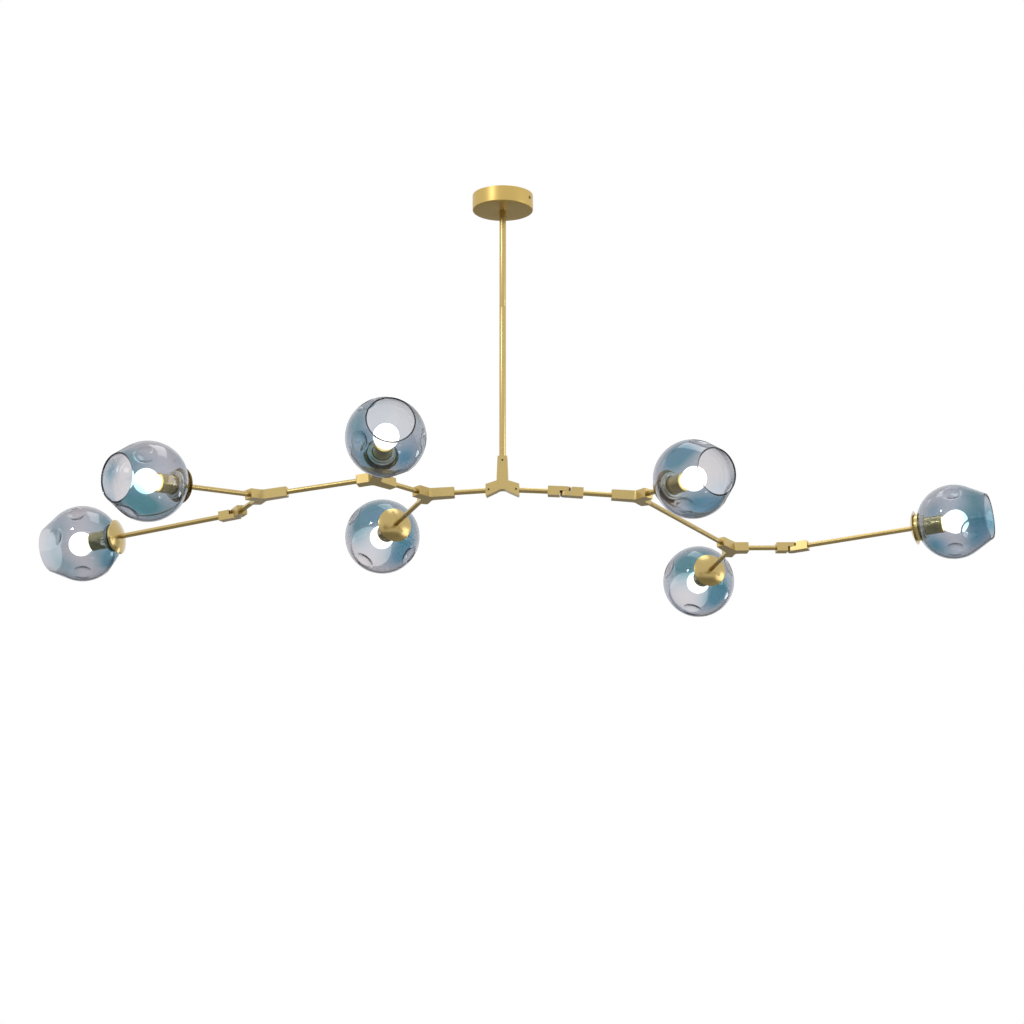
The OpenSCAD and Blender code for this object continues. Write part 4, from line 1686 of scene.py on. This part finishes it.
@dataclass
class Globe:
    """A blown globe whose wall runs straight on to a rolled rim, with thumb dimples, in mm.

    Attributes:
        dimples: Where the thumb dimples are.
        tints: Where the glass is blue.
        radius: The globe's radius.
        wall: Its thickness.
        mouth_r: The wall's radius at the rim.
        mouth: Distance from the middle to the rim's front.
        rim_r: Radius of the rolled rim's bead.
        hole_r: Radius of the back hole.
        ball_r: Radius of the ball that presses a dimple.
        depth: The dimples' depth.
        softness: How softly a dimple's edge rolls over.
        segments: Steps round the axis.
        steps: Points along the outer side, the inner side and the rim.
    """

    dimples: Sequence[Spot]
    tints: Sequence[Spot]
    radius: float = SIZES.globe_r
    wall: float = 3.0
    mouth_r: float = 45.0
    mouth: float = 77.0
    rim_r: float = 2.2
    hole_r: float = 21.0
    ball_r: float = 30.0
    depth: float = 8.0
    softness: float = 2.2
    segments: int = 208
    steps: tuple[int, int, int] = (92, 84, 24)

    def side(self, radius: float, mouth_r: float, steps: int) -> Profile:
        """One side of the wall, from the back hole to the rim's bead.

        Args:
            radius: The side's radius.
            mouth_r: Its radius at the rim.
            steps: Points round the ball.

        Returns:
            The points that are clear of the bead.
        """
        rim_x = self.mouth - self.rim_r
        meet = math.atan2(mouth_r, rim_x) + math.acos(radius / math.hypot(mouth_r, rim_x))
        back = math.pi - math.asin(self.hole_r / radius)
        points = [
            (radius * math.cos(a), radius * math.sin(a)) for a in np.linspace(back, meet, steps)
        ]
        points += list(
            zip(
                np.linspace(points[-1][0], rim_x, steps // 4)[1:],
                np.linspace(points[-1][1], mouth_r, steps // 4)[1:],
            )
        )
        return [p for p in points if math.dist(p, self.bead()) > 1.02 * self.rim_r]

    def bead(self) -> tuple[float, float]:
        """Middle of the rim's bead, along and out from the axis."""
        return (self.mouth - self.rim_r, self.mouth_r - self.wall / 2)

    def outline(self) -> Profile:
        """The wall's closed outline with its rolled rim.

        Returns:
            The points, from the hole's outer edge round the rim and back inside.
        """
        outer = self.side(self.radius, self.mouth_r, self.steps[0])
        inner = self.side(self.radius - self.wall, self.mouth_r - self.wall, self.steps[1])
        x, r = self.bead()
        first, last = (math.atan2(p[1] - r, p[0] - x) for p in (outer[-1], inner[-1]))
        rim = [
            (x + self.rim_r * math.cos(a), r + self.rim_r * math.sin(a))
            for a in np.linspace(first, last, self.steps[2])
        ]
        return outer + rim + inner[::-1]

    def pressed(self, points: np.ndarray, ball: float) -> np.ndarray:
        """Presses the dimples into one side of the wall.

        Args:
            points: The side's points from the globe's middle, in mm.
            ball: Radius of the pressing ball on this side.

        Returns:
            The pressed points.
        """
        far = np.linalg.norm(points, axis=1)
        way = points / far[:, None]
        reach = far.copy()
        for dimple in self.dimples:
            centre = dimple.direction() * (self.radius + self.ball_r - self.depth)
            along = way @ centre
            under = along**2 - centre @ centre + ball**2
            pressed = along - np.sqrt(np.maximum(under, 0.0))
            hit = np.where(under < 0, along + np.maximum(-under, 0.0) / ball, pressed)
            soft = self.softness
            near = (along > 0) & (hit < reach + 4 * soft)
            share = np.clip(0.5 + 0.5 * (hit - reach) / soft, 0, 1)
            merged = hit * (1 - share) + reach * share - soft * share * (1 - share)
            reach = np.where(near, np.minimum(merged, reach), reach)
        return way * reach[:, None]

    def mesh(self, place: Matrix) -> bpy.types.Mesh:
        """Builds the glass.

        Args:
            place: The globe's place.

        Returns:
            The mesh, with its tint.
        """
        outline = self.outline()
        n = self.segments
        profile = np.array(outline)
        turns = np.arange(n) * 2 * math.pi / n
        points = np.stack(
            [
                np.repeat(profile[:, 0], n),
                np.outer(profile[:, 1], np.cos(turns)).ravel(),
                np.outer(profile[:, 1], np.sin(turns)).ravel(),
            ],
            axis=1,
        )
        middle = self.radius - self.wall / 2
        count = len(profile)
        outer = self.outer_rows(profile)
        side = np.repeat(outer, n)
        pressed = points.copy()
        pressed[side] = self.pressed(points[side], self.ball_r)
        pressed[~side] = self.pressed(points[~side], self.ball_r + self.wall)
        tint = self.tint(points / middle)
        i, k = np.meshgrid(np.arange(count), np.arange(n), indexing="ij")
        i2, k2 = (i + 1) % count, (k + 1) % n
        faces = np.stack([i * n + k, i2 * n + k, i2 * n + k2, i * n + k2], axis=-1).reshape(-1, 4)
        mesh = bpy.data.meshes.new("globe")
        mesh.from_pydata((pressed * MM).tolist(), [], faces.tolist())
        layer = mesh.attributes.new("tint", "FLOAT", "POINT")
        layer.data.foreach_set("value", tint.astype(np.float32))
        made = bmesh.new()
        made.from_mesh(mesh)
        bpy.data.meshes.remove(mesh)
        bmesh.ops.recalc_face_normals(made, faces=made.faces)
        made.transform(place)
        return finished(made, 60.0)

    def outer_rows(self, profile: np.ndarray) -> np.ndarray:
        """Tells the outline's outer rows from its inner ones.

        Args:
            profile: The outline's points.

        Returns:
            True for each outer row.
        """
        turn = int(np.argmax(profile[:, 0]))
        return np.arange(len(profile)) <= turn

    def tint(self, where: np.ndarray) -> np.ndarray:
        """How blue the glass is.

        Args:
            where: Points, with the globe's radius as 1.

        Returns:
            The tint at each point, from 0 to 1.
        """
        way = where / np.linalg.norm(where, axis=1)[:, None]
        total = np.zeros(len(way))
        for spot in self.tints:
            angle = np.degrees(np.arccos(np.clip(way @ spot.direction(), -1, 1)))
            total += spot.weight * np.exp(-((angle / spot.size) ** 2))
        return np.clip(total, 0, 1)


@dataclass
class Lamp:
    """One lamp: spun cup, lampholder, shade ring, globe and bulb, in mm.

    Attributes:
        number: Its number, from the left.
        globe: Its globe.
        cup_r: The cup's radius.
        cup_rise: How deep the cup is.
        cup_wall: Its thickness.
        boss_r: Radius of the cup's boss.
        sleeve_r: Radius of the lampholder's sleeve.
        sleeve_end: Its end, from the globe's middle.
        bore_r: Radius of its bore.
        collar_t: How far its collar stands behind the globe's seat.
        ring_hub_r: Radius of the shade ring's hub.
        ring_step: End of the ring's flange.
        ring_end: End of its hub.
        bulb_r: The bulb's radius.
        bulb_x: The bulb's middle.
        cap_r: Radius of its cap.
        neck_x: Where the sleeve's neck starts, from the globe's middle.
        neck_r: Radius of the collar's seat there.
        groove: Start, floor and end of the groove round the sleeve.
        lip: Where the sleeve widens to its lip.
        cut: How far the sleeve lies under its lip, and the groove's floor.
        cap_x: Where the cap's shell starts, from the lampholder's floor.
        cap_in: How far the cap reaches into the bulb's neck.
        ribs: How many grip ribs the ring has.
        rib: Radius and length of a rib.
        wire_r: Radius of the cap's thread.
        glow: Where the warm light ends, before the bulb's middle, and how softly.
    """

    number: int
    globe: Globe
    cup_r: float = 35.0
    cup_rise: float = 10.0
    cup_wall: float = 1.5
    boss_r: float = 8.0
    sleeve_r: float = 18.5
    sleeve_end: float = -22.0
    bore_r: float = 13.6
    collar_t: float = 10.4
    ring_hub_r: float = 23.5
    ring_step: float = SIZES.collar_x + 7.0
    ring_end: float = SIZES.collar_x + 11.5
    bulb_r: float = 24.0
    bulb_x: float = 4.0
    cap_r: float = 13.2
    neck_x: float = -66.0
    neck_r: float = 18.2
    groove: Triple = (-45.0, -44.2, -43.4)
    lip: tuple[float, float] = (-26.0, -25.5)
    cut: tuple[float, float] = (0.4, 0.9)
    cap_x: float = 5.0
    cap_in: float = 8.0
    ribs: int = 36
    rib: tuple[float, float] = (0.9, 4.0)
    wire_r: float = 0.8
    glow: tuple[float, float] = (24.0, 16.0)

    @property
    def place(self) -> Matrix:
        """The middle of the globe, +X out through its mouth."""
        return PLACES[f"lamp_{self.number}"]

    @property
    def floor_x(self) -> float:
        """The lampholder's inner floor."""
        return SIZES.boss_end + 13

    def build(self) -> None:
        """Builds the lamp's pieces."""
        body, n = body_at(f"lamp_{self.number}"), self.number
        piece(f"cup_{n}_spun", lathe(self.cup(), self.place, 128), SPUN, body, [f"cup_{n}"])
        sleeve = lathe(self.sleeve(), self.place, 96)
        piece(f"lampholder_{n}_sleeve", sleeve, SLEEVE_BRASS, body, [f"lampholder_{n}"])
        self.ring(body)
        glass = self.globe.mesh(self.place)
        piece(f"shade_{n}_glass", glass, GLASS, body, [f"shade_{n}"])
        self.bulb(body)

    def on_ball(self, radius: float, first: float, last: float, steps: int) -> Profile:
        """Points on the back of a ball about the globe's middle.

        Args:
            radius: The ball's radius.
            first: Distance of the first point from the axis.
            last: Distance of the last point from the axis.
            steps: How many points.

        Returns:
            The points.
        """
        return [
            (-math.sqrt(radius**2 - r**2), float(r)) for r in np.linspace(first, last, steps)
        ]

    def cup(self) -> Profile:
        """The spun cup's outline: a shallow dish with a soft edge and a boss inside."""
        apex = SIZES.cup_apex
        ball = (self.cup_r**2 + self.cup_rise**2) / (2 * self.cup_rise)
        rim_x, inner, bore = apex + self.cup_rise, ball - self.cup_wall, SIZES.rod_r

        def dome(size: float, first: float, last: float, steps: int) -> Profile:
            """Points of a dome of that radius between two distances from the axis."""
            return [
                (apex + ball - math.sqrt(size**2 - r**2), float(r))
                for r in np.linspace(first, last, steps)
            ]

        inner_r = math.sqrt(inner**2 - (ball - self.cup_rise) ** 2)
        edge = rounded(
            [
                (*dome(ball, self.cup_r - 1.4, self.cup_r, 2)[0], 0),
                (rim_x, self.cup_r, 0.35),
                (rim_x, inner_r, 0.8),
                (*dome(inner, inner_r - 1.4, inner_r, 2)[0], 0),
            ],
            4,
        )
        return (
            dome(ball, bore, self.cup_r - 1.6, 40)
            + edge
            + dome(inner, inner_r - 1.6, self.boss_r + 1.0, 32)
            + rounded(
                [
                    (*dome(inner, self.boss_r, self.boss_r, 1)[0], 0),
                    (SIZES.boss_end, self.boss_r, 0.4),
                    (SIZES.boss_end, bore, 0.2),
                    (apex + 0.2, bore, 0),
                ],
                3,
            )
        )

    def sleeve(self) -> Profile:
        """The lampholder's outline: a collar seated on the globe, a sleeve, a bore and a floor."""
        back, boss = SIZES.collar_x - self.collar_t, self.boss_r + 0.1
        body, deep = (self.sleeve_r - cut for cut in self.cut)
        start, floor, end = self.groove
        seat = self.on_ball(SIZES.globe_r, SIZES.collar_r, self.neck_r, 6)
        corners = [
            (SIZES.boss_end, 2.5, 0.2),
            (SIZES.boss_end, boss, 0),
            (back, boss, 0.3),
            (back, SIZES.collar_r, 1.2),
            *((x, r, 0) for x, r in seat),
            (self.neck_x, body, 0.2),
            (start, body, 0.2),
            (floor, deep, 0.2),
            (end, body, 0.2),
            (self.lip[0], body, 0.3),
            (self.lip[1], self.sleeve_r, 0.3),
            (self.sleeve_end, self.sleeve_r, 0.7),
            (self.sleeve_end, self.bore_r, 0.6),
            (self.floor_x, self.bore_r, 0.3),
            (self.floor_x, 2.5, 0.2),
        ]
        return rounded(corners, 3)

    def ring(self, body: str) -> None:
        """Builds the ring that clamps the globe, with its grip ribs.

        Args:
            body: The CAD body it rides on.
        """
        hole, seat = self.sleeve_r + 0.2, self.globe.radius - self.globe.wall
        outline = rounded(
            [
                *((x, r, 0) for x, r in self.on_ball(seat, hole, SIZES.collar_r, 6)),
                (self.ring_step, SIZES.collar_r, 0.8),
                (self.ring_step, self.ring_hub_r + 0.6, 0.6),
                (self.ring_end, self.ring_hub_r - 0.4, 1.0),
                (self.ring_end, hole, 0.6),
            ],
            4,
        )
        shell = lathe(outline, self.place, 112)
        ribs = rib_growth().mesh(
            bpy.data.meshes.new("none"),
            RING_METAL,
            Count=self.ribs,
            Ring_Radius=(self.ring_hub_r + 0.2) * MM,
            Rib_Radius=self.rib[0] * MM,
            Rib_Length=self.rib[1] * MM,
        )
        ribs.transform(self.place @ moved(self.ring_step) @ turned(90, "Y"))
        name = f"shade_ring_{self.number}"
        piece(name, joined([shell, ribs]), RING_METAL, body)

    def bulb(self, body: str) -> None:
        """Builds the bulb: its cap with the rolled thread, and its lit globe.

        Args:
            body: The CAD body it rides on.
        """
        n, neck, tip = self.number, self.sleeve_end + 0.5, self.floor_x
        start, end, shell_r = tip + self.cap_x, neck - self.cap_in, self.cap_r - 0.9
        cap = rounded(
            [
                (tip, 0, 0),
                (tip, 4.5, 0.8),
                (tip + 2.5, 5.0, 0.4),
                (tip + 3.2, self.cap_r - 1.6, 0.6),
                (start, shell_r, 0.4),
                (end, shell_r, 0.3),
                (end, 0, 0),
            ],
            3,
        )
        shell = lathe(cap, self.place, 64)
        thread = thread_growth().mesh(
            bpy.data.meshes.new("none"),
            NICKEL,
            Turns=5.0,
            Radius=(self.cap_r - 0.75) * MM,
            Height=(end - 2 - start) * MM,
            Wire_Radius=self.wire_r * MM,
        )
        thread.transform(self.place @ moved(start) @ turned(90, "Y"))
        piece(f"bulb_{n}_cap", joined([shell, thread]), NICKEL, body)
        glass = lathe(self.bulb_outline(neck), self.place, 96)
        layer = glass.attributes.new("glow", "FLOAT", "POINT")
        back, (far, soft) = self.place.inverted(), self.glow
        for item, vert in zip(layer.data, glass.vertices):
            item.value = min(max(((back @ vert.co).x / MM + far) / soft, 0.0), 1.0)
        piece(f"bulb_{n}_globe", glass, OPAL, body, [f"bulb_{n}"])

    def bulb_outline(self, neck: float) -> Profile:
        """The bulb's globe with its tapered neck.

        Args:
            neck: Where the neck starts.

        Returns:
            The points.
        """
        meet = math.radians(122.0)
        ball = [
            (self.bulb_x + self.bulb_r * math.cos(a), self.bulb_r * math.sin(a))
            for a in np.linspace(meet, 0.0, 40)
        ]
        ball[-1] = (self.bulb_x + self.bulb_r, 0.0)
        foot = neck - self.cap_in - 0.2
        return [(foot, 0.0), (foot, self.cap_r), (neck, self.cap_r + 0.1)] + ball


def spots(*rows: Sequence[float]) -> list[Spot]:
    """Spots from their angles, sizes and weights."""
    return [Spot(*row) for row in rows]


def globes() -> list[Globe]:
    """The seven globes, from the left, with their dimples and tints.

    Returns:
        The globes.
    """
    return [
        Globe(
            spots((70, 5), (98, -66), (104, 44), (130, -130)),
            spots(
                (145, -79, 21), (150, -95, 14), (152, 58, 20, 0.85), (76, 10, 24, 0.45),
                (79, -46, 22, 0.6), (135, -29, 20, 0.5),
            ),
        ),
        Globe(
            spots((56, 35), (56, -105), (95, 150)),
            spots(
                (36, 34, 24, 0.7), (31, -46, 24, 0.8), (58, -66, 22, 0.95), (85, -59, 24, 0.6),
                (57, 154, 18, 0.8), (107, 26, 20, 0.35),
            ),
        ),
        Globe(
            spots((59, -155), (71, -15), (56, 126), (111, -71)),
            spots(
                (51, 172, 24, 0.9), (49, -145, 22, 0.55), (73, -126, 22, 0.75), (58, -66, 24),
                (38, 131, 18, 0.55), (47, -2, 18, 0.4),
            ),
        ),
        Globe(
            spots((96, -52), (118, -133), (100, 30)),
            spots(
                (131, 27, 26), (147, 62, 24, 0.9), (116, -2, 20, 0.6), (149, -145, 22, 0.9),
                (131, -108, 24), (145, 158, 18, 0.5),
            ),
        ),
        Globe(
            spots((61, 102), (59, -21), (74, -116)),
            spots(
                (72, 163, 26), (56, 140, 22, 0.8), (60, -105, 24), (48, -73, 22, 0.9),
            ),
        ),
        Globe(
            spots((99, 19), (100, -71), (125, 160)),
            spots(
                (151, 42, 26, 0.95), (129, 21, 24, 0.85), (149, 98, 20, 0.6),
                (145, -130, 22, 0.95), (128, -105, 22, 0.85),
            ),
        ),
        Globe(
            spots((79, 144), (56, -142), (88, -112), (70, 20)),
            spots(
                (111, 174, 20, 0.75), (116, -125, 22, 0.9), (45, 141, 22, 0.9),
                (49, -165, 24, 0.9), (51, -115, 22, 0.85), (42, 9, 34),
            ),
        ),
    ]


# ---------------------------------------------------------------- studio


@dataclass
class Studio:
    """Camera, lamps, pale floor and white surroundings.

    Attributes:
        eye: The camera's place, in metres.
        pitch: How far it looks up from level, in degrees.
        focal: Its focal length in widths of the picture.
        floor_z: The floor's height, in metres.
        sensor: The camera's width, in mm.
        softness: How bright the surroundings are for matt surfaces.
        floor_colour: The floor's colour, linear.
    """

    eye: Triple = (0.01827, -5.39732, -1.995025)
    pitch: float = 14.026
    focal: float = 2882.66 / 1024
    floor_z: float = -2.4
    sensor: float = 36.0
    softness: float = 0.32
    floor_colour: Triple = (0.78, 0.77, 0.75)

    def camera(self) -> None:
        """Makes the camera at the photograph's angle."""
        data = bpy.data.cameras.new("camera")
        data.sensor_width = self.sensor
        data.lens = self.sensor * self.focal
        data.clip_start, data.clip_end = 0.05, 100.0
        made = bpy.data.objects.new("camera", data)
        made.location = self.eye
        made.rotation_euler = (math.radians(90 + self.pitch), 0.0, 0.0)
        bpy.context.scene.collection.objects.link(made)
        bpy.context.scene.camera = made

    def lamp(
        self, name: str, where: Triple, size: tuple[float, float], power: float, aim: Triple
    ) -> None:
        """Makes a soft box.

        Args:
            name: Its name.
            where: Its place, in metres.
            size: Its width and height.
            power: Its power, in watts.
            aim: What it points at.
        """
        data = bpy.data.lights.new(name, "AREA")
        data.shape, data.size, data.size_y = "RECTANGLE", *size
        data.energy = power
        made = bpy.data.objects.new(name, data)
        made.location = where
        made.rotation_euler = (Vector(aim) - Vector(where)).to_track_quat("-Z", "Y").to_euler()
        bpy.context.scene.collection.objects.link(made)

    def world(self) -> None:
        """Makes the surroundings: white to the eye, metal and glass, softer on matt surfaces."""
        world = bpy.data.worlds.new("surroundings")
        bpy.context.scene.world = world
        world.use_nodes = True
        bench = Bench(world.node_tree)
        seen, soft = (
            bench.add("ShaderNodeBackground", {}, {"Color": (1, 1, 1, 1), "Strength": strength})
            for strength in (1.0, self.softness)
        )
        ray = bench.add("ShaderNodeLightPath", out="Is Camera Ray")
        share = ray.largest(ray.also("Is Glossy Ray")).largest(ray.also("Is Transmission Ray"))
        mixed = bench.add("ShaderNodeMixShader", {}, {0: share, 1: soft, 2: seen})
        bench.add("ShaderNodeOutputWorld", {}, {"Surface": mixed})

    def floor(self) -> None:
        """Makes the plain pale floor."""
        made = bmesh.new()
        bmesh.ops.create_grid(made, x_segments=1, y_segments=1, size=14.0)
        made.transform(Matrix.Translation((0, 0, self.floor_z)))
        mesh = finished(made)
        paint = bpy.data.materials.new("pale_floor")
        paint.use_nodes = True
        bench = Bench(paint.node_tree)
        inputs = {"Color": opaque(self.floor_colour), "Roughness": 0.5}
        matt = bench.add("ShaderNodeBsdfDiffuse", {}, inputs)
        bench.add("ShaderNodeOutputMaterial", {}, {"Surface": matt})
        mesh.materials.append(paint)
        shown("floor", mesh)

    def build(self) -> None:
        """Builds the studio."""
        self.camera()
        self.world()
        self.floor()
        self.lamp("key", (-2.3, -2.6, 1.3), (0.4, 0.4), 18.0, (0, 0, -0.5))
        self.lamp("top", (0.3, 0.2, 2.2), (2.4, 1.2), 18.0, (0, 0, -0.6))
        self.lamp("right", (4.0, -1.0, -0.6), (2.2, 1.6), 27.0, (0, 0, -0.6))
        self.lamp("low_back", (3.2, 2.6, -1.6), (0.9, 0.6), 8.0, (0, 0, -0.6))
        bpy.context.scene.view_settings.view_transform = "Standard"


# ---------------------------------------------------------------- the whole


def main() -> None:
    """Builds the chandelier and its studio."""
    logging.basicConfig(level=logging.INFO, format="%(name)s: %(message)s")
    for part in (Studio, CeilingFitting, Stem, Blocks, Knuckles, Rods, SetScrews):
        part().build()
    for number, globe in enumerate(globes(), 1):
        Lamp(number, globe).build()


if __name__ == "__main__":
    main()
